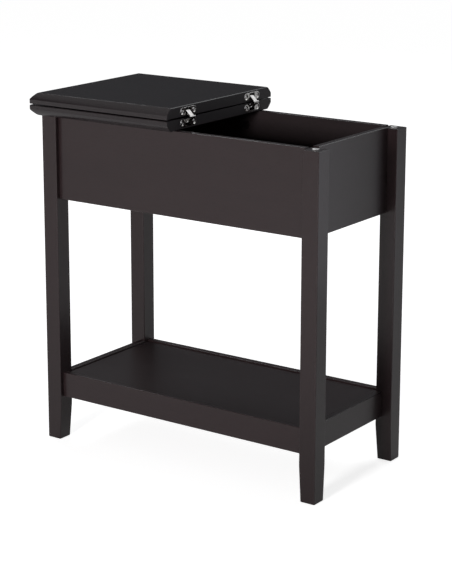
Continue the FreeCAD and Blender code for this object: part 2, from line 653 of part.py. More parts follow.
def make_deck(label, thickness, level):
    """A level board with cam locks in its underside, and its cam locks, bolts and dowels."""
    body = new_body(label)
    sheet_sketch = sketch_on(body, "face", "XY_Plane")
    rectangle(sheet_sketch, "0", "0", LONG_SPAN, DECK_WIDTH)
    pad(body, sheet_sketch, thickness, "board")
    middle = f"{thickness} / 2"
    cams = deck_marks(DECK_WIDTH, "sizes.deck_joint", "sizes.cam_inset")
    drill(body, "cams", "XY_Plane", "0", cams, CAM_HOLE, CAM_HOLE_DEPTH, True)
    bores = [(x, middle) for x in both_ends("sizes.deck_joint", LONG_SPAN)]
    pins = [(x, middle) for x in both_ends("sizes.deck_dowel", LONG_SPAN)]
    for name, offset, forward in (("front", "0", False), ("rear", f"-({DECK_WIDTH})", True)):
        drill(body, f"{name}_bores", "XZ_Plane", offset, bores,
              "sizes.bolt_bore", "sizes.cam_inset", forward)
        drill(body, f"{name}_dowels", "XZ_Plane", offset, pins, DOWEL_HOLE, PIN_DEPTH, forward)
    locks, bolts, pegs = [], [], []
    for x in both_ends("sizes.deck_joint", LONG_SPAN):
        for y, outward in (("sizes.cam_inset", -Y_AXIS), (f"{DECK_WIDTH} - sizes.cam_inset", Y_AXIS)):
            locks.append(copy_of(cam_lock, x, y, "0", aimed(-Z_AXIS, -outward)))
            bolts.append(copy_of(cam_bolt, x, y, middle, aimed(outward, Z_AXIS)))
    for x in both_ends("sizes.deck_dowel", LONG_SPAN):
        for y, outward in ((f"{PEG_SHIFT}", -Y_AXIS), (f"{DECK_WIDTH} - {PEG_SHIFT}", Y_AXIS)):
            pegs.append(copy_of(dowel, x, y, middle, aimed(outward, Z_AXIS)))
    corner = (f"{LEFT_X} + sizes.leg_side", f"{FRONT_Y} + sizes.front_recess + sizes.board", level)
    place(body, *corner)
    keep(body, label)
    return [place(gathered(group), *corner) for group in (locks, bolts, pegs)]


# A dowel into a board's face stops a third of the board short of its outer side.
PEG_SHIFT = f"(sizes.dowel_length / 2 - {PEG_REACH})"
PIN_DEPTH = f"(sizes.dowel_length - {PEG_REACH} + sizes.hole_spare)"
floor_fittings = make_deck("compartment_floor", "sizes.floor_thickness", f"{BOX_BOTTOM} + sizes.floor_lift")
shelf_base = "sizes.rail_bottom + sizes.rail_height - sizes.shelf_drop - sizes.shelf_thickness"
shelf_fittings = make_deck("shelf_panel", "sizes.shelf_thickness", shelf_base)


def keep_fittings(boards, method, labels):
    """Gather one kind of fitting of several boards under each label."""
    kinds = [[], [], []]
    for board in boards:
        for kind, copies in zip(kinds, getattr(board, method)()):
            if copies:
                kind.append(board.put(gathered(copies)))
    for kind, label in zip(kinds, labels):
        keep(gathered(kind, label), label)


keep_fittings(panels, "end_fittings", ("panel_cam_locks", "panel_cam_bolts", "panel_dowels"))
keep_fittings(rails, "end_fittings", ("rail_cam_locks", "rail_cam_bolts", "rail_dowels"))
keep_fittings(panels[:2], "top_fittings", ("top_cam_locks", "top_cam_bolts", "top_dowels"))
for fittings, prefix in ((floor_fittings, "floor"), (shelf_fittings, "shelf")):
    for group, kind in zip(fittings, ("cam_locks", "cam_bolts", "dowels")):
        keep(group, f"{prefix}_{kind}")
keep(gathered([board.put(gathered(board.caps())) for board in panels], "cam_caps"), "compartment_cam_caps")


# Leaves. Each is drawn with its underside at Z = 0, its outer end at X = 0 and its hinged end at
# X = leaf length. The fixed leaf lies that way up; the flip leaf is turned over about X.
def bevel_outline(sketch, corner, inward):
    """The corner that the bevel takes off: two straight sides and a crowned third."""
    width = "sizes.bevel_width"
    height = "sizes.bevel_height"
    foot = f"{corner} {inward} {width}"
    chord = f"sqrt({width} * {width} + {height} * {height})"
    radius = f"(({chord}) * ({chord}) / 4 + sizes.bevel_bulge * sizes.bevel_bulge) / (2 * sizes.bevel_bulge)"
    start = V(number(foot), 0, 0)
    finish = V(number(corner), number(height), 0)
    outer = V(number(corner), 0, 0)
    bend = number(radius)
    middle = (start + finish) / 2
    away = (middle - outer).cross(finish - start).cross(finish - start)
    away = away * (-1 if away.dot(middle - outer) < 0 else 1)
    centre = middle + away / away.Length * (bend - number("sizes.bevel_bulge"))
    ends = (finish, start) if inward == "+" else (start, finish)
    angles = [math.atan2(end.y - centre.y, end.x - centre.x) for end in ends]
    if angles[1] < angles[0]:
        angles[1] += 2 * math.pi
    sketch.addGeometry(Part.LineSegment(outer, start))
    sketch.addGeometry(Part.ArcOfCircle(Part.Circle(centre, Z_AXIS, bend), *angles))
    sketch.addGeometry(Part.LineSegment(finish, outer))
    foot_end, edge_end = (2, 1) if inward == "+" else (1, 2)
    sketch.addConstraint(Sketcher.Constraint("Coincident", 0, 2, 1, foot_end))
    sketch.addConstraint(Sketcher.Constraint("Coincident", 1, edge_end, 2, 1))
    sketch.addConstraint(Sketcher.Constraint("Coincident", 2, 2, 0, 1))
    locate(sketch, 0, 1, corner, "0")
    locate(sketch, 0, 2, foot, "0")
    locate(sketch, 2, 1, corner, height)
    dimension(sketch, "Radius", (1,), radius)


def make_leaf(label, hinge_level, joints):
    body = new_body(label)
    face = sketch_on(body, "face", "XY_Plane")
    rectangle(face, "0", "0", LEAF_LENGTH, LEAF_WIDTH)
    pad(body, face, "sizes.leaf_thickness", "board")
    length = number(LEAF_LENGTH)
    top = number("sizes.leaf_thickness")
    dress(body, "Fillet", "Radius", "sizes.leaf_easing",
          lambda edge: runs_along(edge, Z_AXIS) and at_level(edge, X_AXIS, 0))
    dress(body, "Fillet", "Radius", "sizes.leaf_easing",
          lambda edge: at_level(edge, Z_AXIS, top) and not at_level(edge, X_AXIS, length))
    sides = (
        ("end", "XZ_Plane", "0", "+", False),
        ("front", "YZ_Plane", "0", "+", True),
        ("rear", "YZ_Plane", LEAF_WIDTH, "-", True),
    )
    for name, role, corner, inward, forward in sides:
        bevel = sketch_on(body, f"{name}_bevel", role)
        bevel_outline(bevel, corner, inward)
        cut(body, bevel, None, f"{name}_bevel_cut", forward)
    hinges = ["sizes.hinge_inset", f"{LEAF_WIDTH} - sizes.hinge_inset"]
    for index, y in enumerate(hinges):
        play = "2 * sizes.mortise_play"
        seat = sketch_on(body, f"seat_{index}", "YZ_Plane", LEAF_LENGTH)
        obround(seat, y, hinge_level, f"sizes.plate_length + {play}", f"sizes.plate_width + {play}")
        cut(body, seat, "sizes.plate_thickness", f"seat_{index}_cut")
        mortise = sketch_on(body, f"mortise_{index}", "YZ_Plane", LEAF_LENGTH)
        rounded_block(mortise, y, hinge_level, f"sizes.cup_length + {play}", f"sizes.cup_width + {play}",
                      "(sizes.cup_corner + sizes.mortise_play)")
        cut(body, mortise, "sizes.cup_depth + sizes.mortise_play", f"mortise_{index}_cut")
    screws = [(f"{y} {sign} sizes.screw_pitch / 2", hinge_level) for y in hinges for sign in "-+"]
    drill(body, "pilots", "YZ_Plane", LEAF_LENGTH, screws,
          "sizes.screw_shank + 2 * sizes.fit_play", f"{SCREW_DEPTH} + sizes.screw_length + sizes.hole_spare")
    edge = f"sizes.leaf_overhang + {LONG_LINE}"
    rows = (edge, f"{LEAF_WIDTH} - ({edge})")
    near = f"{LEAF_LENGTH} + sizes.seam_gap / 2 - sizes.top_near"
    far = "sizes.leaf_overhang + sizes.leg_side + sizes.top_far"
    if joints:
        bolts = [(x, y) for x in (near, far) for y in rows]
        drill(body, "top_bolts", "XY_Plane", "0", bolts, THREAD_HOLE, THREAD_DEPTH, True)
        pegs = [(f"({near} + {far}) / 2", y) for y in rows]
        drill(body, "top_pegs", "XY_Plane", "0", pegs, DOWEL_HOLE, DOWEL_DEPTH, True)
    keep(body, label)
    return body


LEAF_X = f"{LEFT_X} - sizes.leaf_overhang"
fixed_leaf = make_leaf("fixed_leaf", FIXED_HINGE_LEVEL, True)
place(fixed_leaf, LEAF_X, f"{FRONT_Y} - sizes.leaf_overhang", "sizes.leg_height")
flip_leaf = make_leaf("flip_leaf", FLIP_HINGE_LEVEL, False)
flip_top = f"{LEAF_TOP} + sizes.fold_gap + sizes.leaf_thickness"
place(flip_leaf, LEAF_X, f"{REAR_Y} + sizes.leaf_overhang", flip_top, 180, X_AXIS)


# Hinges. A plate is drawn with its outer face at X = 0, its cup towards -X, centred on Y and Z.
def make_plate(label, y, z):
    body = new_body(label)
    flange = sketch_on(body, "flange", "YZ_Plane", "-sizes.plate_thickness")
    obround(flange, "0", "0", "sizes.plate_length", "sizes.plate_width")
    pad(body, flange, "sizes.plate_thickness", "plate")
    cup = sketch_on(body, "cup", "YZ_Plane", "-sizes.cup_depth")
    rounded_block(cup, "0", "0", "sizes.cup_length", "sizes.cup_width", "sizes.cup_corner")
    pad(body, cup, "sizes.cup_depth - sizes.plate_thickness", "cup_block")
    slot = sketch_on(body, "slot", "YZ_Plane")
    half_long = "sizes.slot_length / 2"
    half_wide = "sizes.slot_width / 2"
    rectangle(slot, f"-{half_long}", f"-{half_wide}", half_long, half_wide)
    cut(body, slot, "sizes.slot_depth", "slot_cut")
    holes = [(f"{sign}sizes.screw_pitch / 2", "0") for sign in ("-", "")]
    drill(body, "screw_holes", "YZ_Plane", "0", holes,
          "sizes.screw_shank + 2 * sizes.screw_play", "sizes.plate_thickness")
    reach = number("sizes.screw_pitch / 2")
    hole = number("sizes.screw_shank / 2 + sizes.screw_play")
    dress(body, "Chamfer", "Size", "(sizes.sink_diameter - sizes.screw_shank) / 2 - sizes.screw_play",
          lambda edge: at_level(edge, X_AXIS, 0) and is_round(edge, hole, reach))
    end = number("sizes.plate_width / 2")
    far = number("(sizes.plate_length - sizes.plate_width) / 2")
    dress(body, "Fillet", "Radius", "sizes.plate_easing",
          lambda edge: at_level(edge, X_AXIS, 0) and is_round(edge, end, far))
    place(body, f"{SEAM_X} - sizes.seam_gap / 2", y, z)
    keep(body, label)


def make_arm(label, width, y, turn, forked):
    """An arm along +X from the knuckle pin at its origin."""
    body = new_body(label)
    bar = sketch_on(body, "bar", "XZ_Plane")
    length = "sizes.arm_length + sizes.arm_thickness"
    obround(bar, "sizes.arm_length / 2", "0", length, "sizes.arm_thickness")
    pad(body, bar, width, "bar_block", True)
    eye = sketch_on(body, "eye", "XZ_Plane")
    circles(eye, [("0", "0")], "2 * sizes.eye_radius")
    pad(body, eye, width, "eye_block", True)
    if forked:
        gap = sketch_on(body, "gap", "XZ_Plane")
        back = "-(sizes.eye_radius + sizes.pin_play)"
        depth = "(sizes.eye_radius + sizes.arm_thickness)"
        root = "sizes.arm_length + sizes.arm_thickness / 2 - sizes.fork_bridge"
        rectangle(gap, back, f"-{depth}", root, depth)
        cut(body, gap, FORK_GAP, "gap_cut", False, True)
    bore = sketch_on(body, "bore", "XZ_Plane")
    circles(bore, [("0", "0")], "sizes.pin_diameter + 2 * sizes.pin_play")
    cut(body, bore, f"{width} + sizes.pin_diameter", "bore_cut", False, True)
    place(body, f"{SEAM_X} + sizes.knuckle_reach", y, FOLD_Z, 0, Y_AXIS)
    body.Placement = FreeCAD.Placement(body.Placement.Base, FreeCAD.Rotation(Y_AXIS, 180))
    body.setExpression("Placement.Rotation.Angle", turn)
    keep(body, label)


def make_pin(label, y):
    body = new_body(label)
    section = sketch_on(body, "section", "XZ_Plane")
    circles(section, [("0", "0")], "sizes.pin_diameter")
    pad(body, section, f"{FORK_WIDTH} + 2 * sizes.pin_proud", "pin", True)
    place(body, f"{SEAM_X} + sizes.knuckle_reach", y, FOLD_Z)
    keep(body, label)


FIXED_PLATE_Z = f"({FOLD_Z} - sizes.hinge_drop)"
FLIP_PLATE_Z = f"({FOLD_Z} + sizes.hinge_drop)"
for side, y in (("front", f"-{HINGE_Y}"), ("rear", HINGE_Y)):
    make_plate(f"{side}_hinge_fixed_plate", y, FIXED_PLATE_Z)
    make_plate(f"{side}_hinge_flip_plate", y, FLIP_PLATE_Z)
    make_pin(f"{side}_hinge_knuckle_pin", y)
    fixed_turn = "180 - sizes.arm_rest_angle"
    flip_turn = "180 + sizes.arm_rest_angle"
    make_arm(f"{side}_hinge_fixed_arm", FORK_WIDTH, y, fixed_turn, True)
    make_arm(f"{side}_hinge_flip_arm", "sizes.tongue_width", y, flip_turn, False)

for label, z in (("fixed_plate_screws", FIXED_PLATE_Z), ("flip_plate_screws", FLIP_PLATE_Z)):
    copies = []
    for hinge_y in (f"-{HINGE_Y}", HINGE_Y):
        for sign in "-+":
            y = f"{hinge_y} {sign} sizes.screw_pitch / 2"
            x = f"{SEAM_X} - sizes.seam_gap / 2 - {SCREW_DEPTH}"
            copies.append(copy_of(hinge_screw, x, y, z, aimed(X_AXIS, Y_AXIS)))
    keep(gathered(copies, label), label)

post_x = f"{RIGHT_X} - sizes.leg_side / 2"
pads = []
for y in (f"{FRONT_Y} + sizes.leg_side / 2", f"{REAR_Y} - sizes.leg_side / 2"):
    pads.append(copy_of(bumper, post_x, y, RIGHT_POST, aimed(Z_AXIS, X_AXIS)))
keep(gathered(pads, "post_bumpers"), "post_bumpers")

# Everything is checked before any file is written.
doc.recompute()
for item in doc.Objects:
    faults = [state for state in item.State if state in ("Invalid", "Error")]
    if faults:
        raise RuntimeError(f"{item.Label}: {faults}")
for item in nodes:
    if item.Shape.isNull() or not item.Shape.isValid():
        raise RuntimeError(f"{item.Label}: bad shape")
    for solid in item.Shape.Solids:
        if solid.Volume < 1:
            raise RuntimeError(f"{item.Label}: a solid is empty")

os.makedirs("parts", exist_ok=True)
for item in nodes:
    item.Shape.exportStep(f"parts/{item.Label}.step")
print(len(nodes), "pieces written")
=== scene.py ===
# Flip-top end table: looks, small turned parts, studio and camera
import bpy
import bmesh
import math
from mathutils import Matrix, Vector


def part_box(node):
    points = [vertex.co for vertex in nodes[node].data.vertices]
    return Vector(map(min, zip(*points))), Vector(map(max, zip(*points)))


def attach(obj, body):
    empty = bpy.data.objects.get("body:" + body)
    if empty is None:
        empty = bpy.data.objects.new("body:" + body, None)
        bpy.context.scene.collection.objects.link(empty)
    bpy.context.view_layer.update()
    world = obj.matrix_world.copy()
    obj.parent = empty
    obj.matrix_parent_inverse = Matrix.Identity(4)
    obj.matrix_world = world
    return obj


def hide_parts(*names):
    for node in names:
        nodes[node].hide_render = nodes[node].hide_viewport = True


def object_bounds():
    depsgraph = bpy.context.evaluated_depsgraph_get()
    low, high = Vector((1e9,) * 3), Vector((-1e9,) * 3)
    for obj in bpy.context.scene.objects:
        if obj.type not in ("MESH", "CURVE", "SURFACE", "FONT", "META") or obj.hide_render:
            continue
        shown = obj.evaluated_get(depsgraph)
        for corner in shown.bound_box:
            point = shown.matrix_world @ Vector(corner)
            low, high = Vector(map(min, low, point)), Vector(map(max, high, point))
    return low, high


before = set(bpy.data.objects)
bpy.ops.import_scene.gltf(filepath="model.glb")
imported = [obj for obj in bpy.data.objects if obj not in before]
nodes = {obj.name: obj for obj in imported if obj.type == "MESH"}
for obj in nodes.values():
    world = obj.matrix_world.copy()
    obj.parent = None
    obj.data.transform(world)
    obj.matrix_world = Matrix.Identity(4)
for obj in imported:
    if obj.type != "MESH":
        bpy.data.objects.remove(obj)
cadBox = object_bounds()
scene = bpy.context.scene
print("frame loaded:", len(nodes), "pieces")


# camera
cameraView = {
    "place": (1.7581, -2.4673, 1.1155),  # metres
    "turn": 35.58,                       # degrees to the left of +Y
    "dip": 13.10,                        # degrees below level
    "lens": 110.45, "sensor": 36.0,      # millimetres
    "shift": (0.020, -0.120),
    "farthest": 200.0,                   # metres that it sees
}


def addCamera(view):
    data = bpy.data.cameras.new("tableCamera")
    data.lens = view["lens"]
    data.sensor_width = view["sensor"]
    data.sensor_fit = "AUTO"
    data.shift_x, data.shift_y = view["shift"]
    data.clip_end = view["farthest"]
    camera = bpy.data.objects.new("tableCamera", data)
    camera.location = view["place"]
    camera.rotation_euler = (math.radians(90 - view["dip"]), 0, math.radians(view["turn"]))
    scene.collection.objects.link(camera)
    scene.camera = camera


addCamera(cameraView)
print("camera placed")


# helpers for node trees
def newSocket(tree, name, kind, into="INPUT", value=None):
    socket = tree.interface.new_socket(name, in_out=into, socket_type=kind)
    if value is not None:
        socket.default_value = value


# A source is another node's output, or a plain value.
def feed(tree, target, source):
    if isinstance(source, bpy.types.NodeSocket):
        tree.links.new(source, target)
    else:
        target.default_value = source


def calc(tree, operation, *values, clamp=False):
    node = tree.nodes.new("ShaderNodeMath")
    node.operation = operation
    node.use_clamp = clamp
    for socket, value in zip(node.inputs, values):
        feed(tree, socket, value)
    return node.outputs[0]


def times(tree, first, second):
    return calc(tree, "MULTIPLY", first, second)


def plus(tree, first, second, clamp=False):
    return calc(tree, "ADD", first, second, clamp=clamp)


def minus(tree, first, second, clamp=False):
    return calc(tree, "SUBTRACT", first, second, clamp=clamp)


def mapRange(tree, value, low, high, outLow=0.0, outHigh=1.0, smooth=True):
    node = tree.nodes.new("ShaderNodeMapRange")
    node.interpolation_type = "SMOOTHSTEP" if smooth else "LINEAR"
    for socket, item in zip(node.inputs, (value, low, high, outLow, outHigh)):
        feed(tree, socket, item)
    return node.outputs[0]


colorMix = {"first": 6, "second": 7, "result": 2}  # the Mix node's colour sockets


def blendColor(tree, factor, first, second, mode="MIX"):
    node = tree.nodes.new("ShaderNodeMix")
    node.data_type = "RGBA"
    node.blend_type = mode
    feed(tree, node.inputs[0], factor)
    feed(tree, node.inputs[colorMix["first"]], first)
    feed(tree, node.inputs[colorMix["second"]], second)
    return node.outputs[colorMix["result"]]


def splitVector(tree, vector):
    node = tree.nodes.new("ShaderNodeSeparateXYZ")
    feed(tree, node.inputs[0], vector)
    return node.outputs


def joinVector(tree, x, y, z):
    node = tree.nodes.new("ShaderNodeCombineXYZ")
    for socket, value in zip(node.inputs, (x, y, z)):
        feed(tree, socket, value)
    return node.outputs[0]


def scaleVector(tree, vector, factor):
    node = tree.nodes.new("ShaderNodeVectorMath")
    node.operation = "SCALE"
    feed(tree, node.inputs[0], vector)
    feed(tree, node.inputs["Scale"], factor)
    return node.outputs[0]


def mapping(tree, vector, shift=(0, 0, 0), turn=(0, 0, 0), scale=(1, 1, 1)):
    node = tree.nodes.new("ShaderNodeMapping")
    feed(tree, node.inputs["Vector"], vector)
    node.inputs["Location"].default_value = shift
    node.inputs["Rotation"].default_value = turn
    node.inputs["Scale"].default_value = scale
    return node.outputs[0]


# A layer is one noise, with how it is stretched and turned where it is.
def noise(tree, vector, layer):
    if "stretch" in layer:
        vector = mapping(tree, vector, turn=layer.get("turn", (0, 0, 0)), scale=layer["stretch"])
    node = tree.nodes.new("ShaderNodeTexNoise")
    feed(tree, node.inputs["Vector"], vector)
    node.inputs["Scale"].default_value = layer["scale"]
    node.inputs["Detail"].default_value = layer["detail"]
    node.inputs["Roughness"].default_value = layer["rough"]
    node.inputs["Distortion"].default_value = layer.get("warp", 0.0)
    return node.outputs["Fac"]


# A shader group with its named inputs, None for a vector, and its named outputs.
def newGroup(name, inputs, outputs):
    group = bpy.data.node_groups.new(name, "ShaderNodeTree")
    for label, value in inputs.items():
        newSocket(group, label, "NodeSocketVector" if value is None else "NodeSocketFloat", value=value)
    for label in outputs:
        newSocket(group, label, "NodeSocketFloat", "OUTPUT")
    return group, group.nodes.new("NodeGroupInput").outputs, group.nodes.new("NodeGroupOutput").inputs


def groupNode(tree, group, **values):
    node = tree.nodes.new("ShaderNodeGroup")
    node.node_tree = group
    for name, value in values.items():
        feed(tree, node.inputs[name.replace("_", " ")], value)
    return node.outputs


# shader groups
grainPattern = {
    "bands": {"stretch": (1.3, 14, 14), "scale": 3.0, "detail": 3, "rough": 0.55, "warp": 0.6},
    "streaks": {"stretch": (6, 150, 150), "scale": 4.0, "detail": 4, "rough": 0.6, "warp": 0.2},
    "pores": {"stretch": (28, 620, 620), "scale": 3.0, "detail": 2, "rough": 0.5},
    "skin": {"scale": 420.0, "detail": 2, "rough": 0.5},  # the lacquer's own surface
    "bandTone": 0.55, "streakTone": 0.45,
    "poreRange": (0.60, 0.72),
    "skinHeight": 0.35, "poreDepth": 0.65, "streakHeight": 0.35,
}
edgePattern = {
    "width": 0.003,
    "patches": {"scale": 26.0, "detail": 4, "rough": 0.62},
    "patchRange": (0.48, 0.70),
}
dustPattern = {
    "wipes": {"turn": (0.3, 0.2, 0.7), "stretch": (3, 9, 5), "scale": 3.0, "detail": 3, "rough": 0.6, "warp": 1.2},
    "speckScale": 230.0, "speckRange": (0.05, 0.09),
    "amount": 0.5,
}


# Fine open grain along X, for lacquered boards.
def buildGrainGroup(pattern):
    group, given, out = newGroup("fineGrain", {"Vector": None, "Grain Scale": 1.0}, ("Tone", "Pores", "Height"))
    place = scaleVector(group, given["Vector"], given["Grain Scale"])
    bands = noise(group, place, pattern["bands"])
    streaks = noise(group, place, pattern["streaks"])
    pores = mapRange(group, noise(group, place, pattern["pores"]), *pattern["poreRange"])
    tone = plus(group, times(group, bands, pattern["bandTone"]), times(group, streaks, pattern["streakTone"]))
    skin = noise(group, place, pattern["skin"])
    height = minus(group, times(group, skin, pattern["skinHeight"]), times(group, pores, pattern["poreDepth"]))
    height = plus(group, height, times(group, streaks, pattern["streakHeight"]))
    feed(group, out["Tone"], tone)
    feed(group, out["Pores"], pores)
    feed(group, out["Height"], height)
    return group


# How near a point is to an arris of a box: 1 on the arris, 0 away from it.
def buildEdgeGroup(pattern):
    group, given, out = newGroup("boardEdges", {"Vector": None, "Low Corner": None, "High Corner": None,
                                                "Width": pattern["width"]}, ("Edge", "Worn And Highlit"))
    point, low, high = (splitVector(group, given[label]) for label in ("Vector", "Low Corner", "High Corner"))
    gaps = [calc(group, "MINIMUM", minus(group, point[axis], low[axis]), minus(group, high[axis], point[axis]))
            for axis in range(3)]
    # the second smallest of the three distances is the distance to the nearest arris
    smallXY = calc(group, "MINIMUM", gaps[0], gaps[1])
    largeXY = calc(group, "MAXIMUM", gaps[0], gaps[1])
    middle = calc(group, "MAXIMUM", smallXY, calc(group, "MINIMUM", largeXY, gaps[2]))
    near = mapRange(group, middle, 0.0, given["Width"], 1.0, 0.0)
    # the arris mask broken into patches, which lightens the colour: partly handling wear, partly a painted
    # highlight along the arrises
    patches = mapRange(group, noise(group, given["Vector"], pattern["patches"]), *pattern["patchRange"])
    feed(group, out["Edge"], near)
    feed(group, out["Worn And Highlit"], times(group, near, patches))
    return group


# Sparse specks and soft wipes that lift the roughness a little.
def buildDustGroup(pattern):
    group, given, out = newGroup("wipesAndDust", {"Vector": None, "Amount": pattern["amount"]},
                                 ("Rough Shift", "Specks"))
    wipes = noise(group, given["Vector"], pattern["wipes"])
    cells = group.nodes.new("ShaderNodeTexVoronoi")
    feed(group, cells.inputs["Vector"], given["Vector"])
    cells.inputs["Scale"].default_value = pattern["speckScale"]
    specks = mapRange(group, cells.outputs["Distance"], *pattern["speckRange"], 1.0, 0.0)
    feed(group, out["Rough Shift"], times(group, minus(group, wipes, 0.5), given["Amount"]))
    feed(group, out["Specks"], times(group, specks, given["Amount"]))
    return group


grainGroup = buildGrainGroup(grainPattern)
edgeGroup = buildEdgeGroup(edgePattern)
dustGroup = buildDustGroup(dustPattern)
print("shader groups built")


# espresso lacquer
lacquer = {
    "dark": (0.0205, 0.0128, 0.0138, 1),
    "light": (0.0305, 0.0190, 0.0202, 1),
    "pore": (0.0090, 0.0060, 0.0066, 1), "poreShare": 0.7,
    # edge colour: arrises painted lighter, partly handling wear and partly a painted highlight in place of glints
    # on the rounded arrises
    "edge": (0.0480, 0.0360, 0.0340, 1), "edgeWearAndHighlightShare": 0.30,
    "speck": (0.35, 0.34, 0.33, 1), "speckShare": 0.06, "dust": 0.5,
    "roughness": 0.31, "roughSpread": 0.07,
    "edgePolish": 0.05,      # arrises are this much smoother
    "specular": 0.45,
    "grainDepth": 0.00006,   # metres, as all lengths here
    "grainStrength": 0.35,
    "edgeWidth": 0.0028,
    "buttColor": (0.0135, 0.0105, 0.0120, 1),  # sawn meeting ends of the leaves, sealed but not polished
    "buttShare": 0.85, "buttRough": 0.62, "buttBand": (0.00025, 0.00005),
    "topGloss": 0.6,         # upper edges are rubbed up to a sharper gloss
    "edgeGloss": 0.12,
    "coatRough": 0.06,
    "faceBand": (0.0003, 0.0001),  # how far in from a face its own finish fades
    "paintedInsideLight": None,      # how much lighter the side towards the compartment is painted: painted light in place of the light bounced inside the box
    "paintedFootShade": 1.0,        # how much darker a post is painted near the floor: painted shade where the light falls off
    "paintedFootShadeReach": (0.05, 0.30),
}
leafLacquer = dict(lacquer, dark=(0.0150, 0.0112, 0.0126, 1), light=(0.0225, 0.0170, 0.0186, 1),
                   roughness=0.18, roughSpread=0.04)
flatLacquer = dict(lacquer, topGloss=0.0)
railLacquer = dict(lacquer, topGloss=0.0, edgeGloss=0.0)
# the rear panel's inner face is painted lighter and less red: painted light
rearLacquer = dict(lacquer, paintedInsideLight=(1.25, 1.55, 1.50, 1))
# posts get painted shade towards the floor
postLacquer = dict(lacquer, paintedFootShade=0.80)
turns = {"x": (0, 0, 0), "y": (0, 0, math.radians(-90)), "z": (0, math.radians(90), 0)}
seedStep = (0.37, 0.21, 0.13)  # metres between the patterns of two boards


def emptyMaterial(name):
    material = bpy.data.materials.new(name)
    material.use_nodes = True
    tree = material.node_tree
    tree.nodes.clear()
    return material, tree, tree.nodes.new("ShaderNodeOutputMaterial").inputs["Surface"]


def newMaterial(name):
    material, tree, surface = emptyMaterial(name)
    shader = tree.nodes.new("ShaderNodeBsdfPrincipled")
    feed(tree, surface, shader.outputs[0])
    where = tree.nodes.new("ShaderNodeTexCoord").outputs["Object"]
    return material, tree, shader, where


def addBump(tree, shader, height, strength, distance):
    bump = tree.nodes.new("ShaderNodeBump")
    bump.inputs["Strength"].default_value = strength
    bump.inputs["Distance"].default_value = distance
    feed(tree, bump.inputs["Height"], height)
    feed(tree, shader.inputs["Normal"], bump.outputs[0])


def toned(color, share):
    return tuple(part * share for part in color[:3]) + (1,)


def lacquerMaterial(board, along, seed, tone, finish, isLeaf):
    material, tree, shader, where = newMaterial("lacquer_" + board)
    low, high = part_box(board)
    x, y, z = splitVector(tree, where)
    placed = mapping(tree, where, shift=tuple(step * seed for step in seedStep), turn=turns[along])
    grain = groupNode(tree, grainGroup, Vector=placed)
    edge = groupNode(tree, edgeGroup, Vector=where, Low_Corner=tuple(low), High_Corner=tuple(high),
                     Width=finish["edgeWidth"])
    dust = groupNode(tree, dustGroup, Vector=placed, Amount=finish["dust"])
    color = blendColor(tree, grain["Tone"], toned(finish["dark"], tone), toned(finish["light"], tone))
    color = blendColor(tree, times(tree, grain["Pores"], finish["poreShare"]), color, toned(finish["pore"], tone))
    # painted highlight and wear: the arrises are painted lighter in patches
    color = blendColor(tree, times(tree, edge["Worn And Highlit"], finish["edgeWearAndHighlightShare"]), color, toned(finish["edge"], tone))
    color = blendColor(tree, times(tree, dust["Specks"], finish["speckShare"]), color, finish["speck"])
    fadeStart, fadeEnd = finish["faceBand"]
    # painted light: the face towards the compartment is painted lighter
    if finish["paintedInsideLight"]:
        paintedLightMask = mapRange(tree, y, low.y + fadeEnd, low.y + fadeStart, 1.0, 0.0)
        color = blendColor(tree, paintedLightMask, color, finish["paintedInsideLight"], "MULTIPLY")
    # painted shade: the posts are painted darker towards the floor
    if finish["paintedFootShade"] < 1:
        paintedFootShadeMask = mapRange(tree, z, *finish["paintedFootShadeReach"], 1.0, 0.0)
        color = blendColor(tree, paintedFootShadeMask, color, toned((1, 1, 1), finish["paintedFootShade"]), "MULTIPLY")
    rough = plus(tree, finish["roughness"], times(tree, dust["Rough Shift"], 2 * finish["roughSpread"]))
    rough = minus(tree, rough, times(tree, edge["Edge"], finish["edgePolish"]), clamp=True)
    if isLeaf:
        sawnStart, sawnEnd = finish["buttBand"]
        sawn = mapRange(tree, x, high.x - sawnStart, high.x - sawnEnd)
        color = blendColor(tree, times(tree, sawn, finish["buttShare"]), color, finish["buttColor"])
        rough = mapRange(tree, sawn, 0.0, 1.0, rough, finish["buttRough"], smooth=False)
    elif finish["topGloss"] or finish["edgeGloss"]:
        upper = mapRange(tree, z, high.z - fadeStart, high.z - fadeEnd)
        rubbed = calc(tree, "MAXIMUM", times(tree, upper, finish["topGloss"]),
                      times(tree, edge["Edge"], finish["edgeGloss"]))
        feed(tree, shader.inputs["Coat Weight"], rubbed)
        shader.inputs["Coat Roughness"].default_value = finish["coatRough"]
    feed(tree, shader.inputs["Base Color"], color)
    feed(tree, shader.inputs["Roughness"], rough)
    shader.inputs["Specular IOR Level"].default_value = finish["specular"]
    addBump(tree, shader, grain["Height"], finish["grainStrength"], finish["grainDepth"])
    return material


boards = {  # board: (grain runs along, pattern offset, tone)
    "front_panel": ("x", 1, 1.0), "rear_panel": ("x", 2, 0.97),
    "left_end_panel": ("y", 3, 1.0), "right_end_panel": ("y", 4, 1.0),
    # painted shade: the shelf panel's tone of 0.80 paints it darker than its rails, for the shade under the
    # compartment
    "compartment_floor": ("x", 5, 0.95), "shelf_panel": ("x", 6, 0.80),
    "shelf_front_rail": ("x", 7, 1.0), "shelf_rear_rail": ("x", 8, 1.0),
    "shelf_left_rail": ("y", 9, 1.0), "shelf_right_rail": ("y", 10, 1.0),
    "front_left_leg": ("z", 11, 1.0), "rear_left_leg": ("z", 12, 1.0),
    "front_right_leg": ("z", 13, 1.0), "rear_right_leg": ("z", 14, 1.0),
    "fixed_leaf": ("x", 15, 0.98), "flip_leaf": ("x", 16, 0.98),
}
finishes = {  # by a board's name or by its last word
    "rear_panel": rearLacquer, "shelf_panel": flatLacquer, "compartment_floor": flatLacquer,
    "leaf": leafLacquer, "leg": postLacquer, "rail": railLacquer,
}


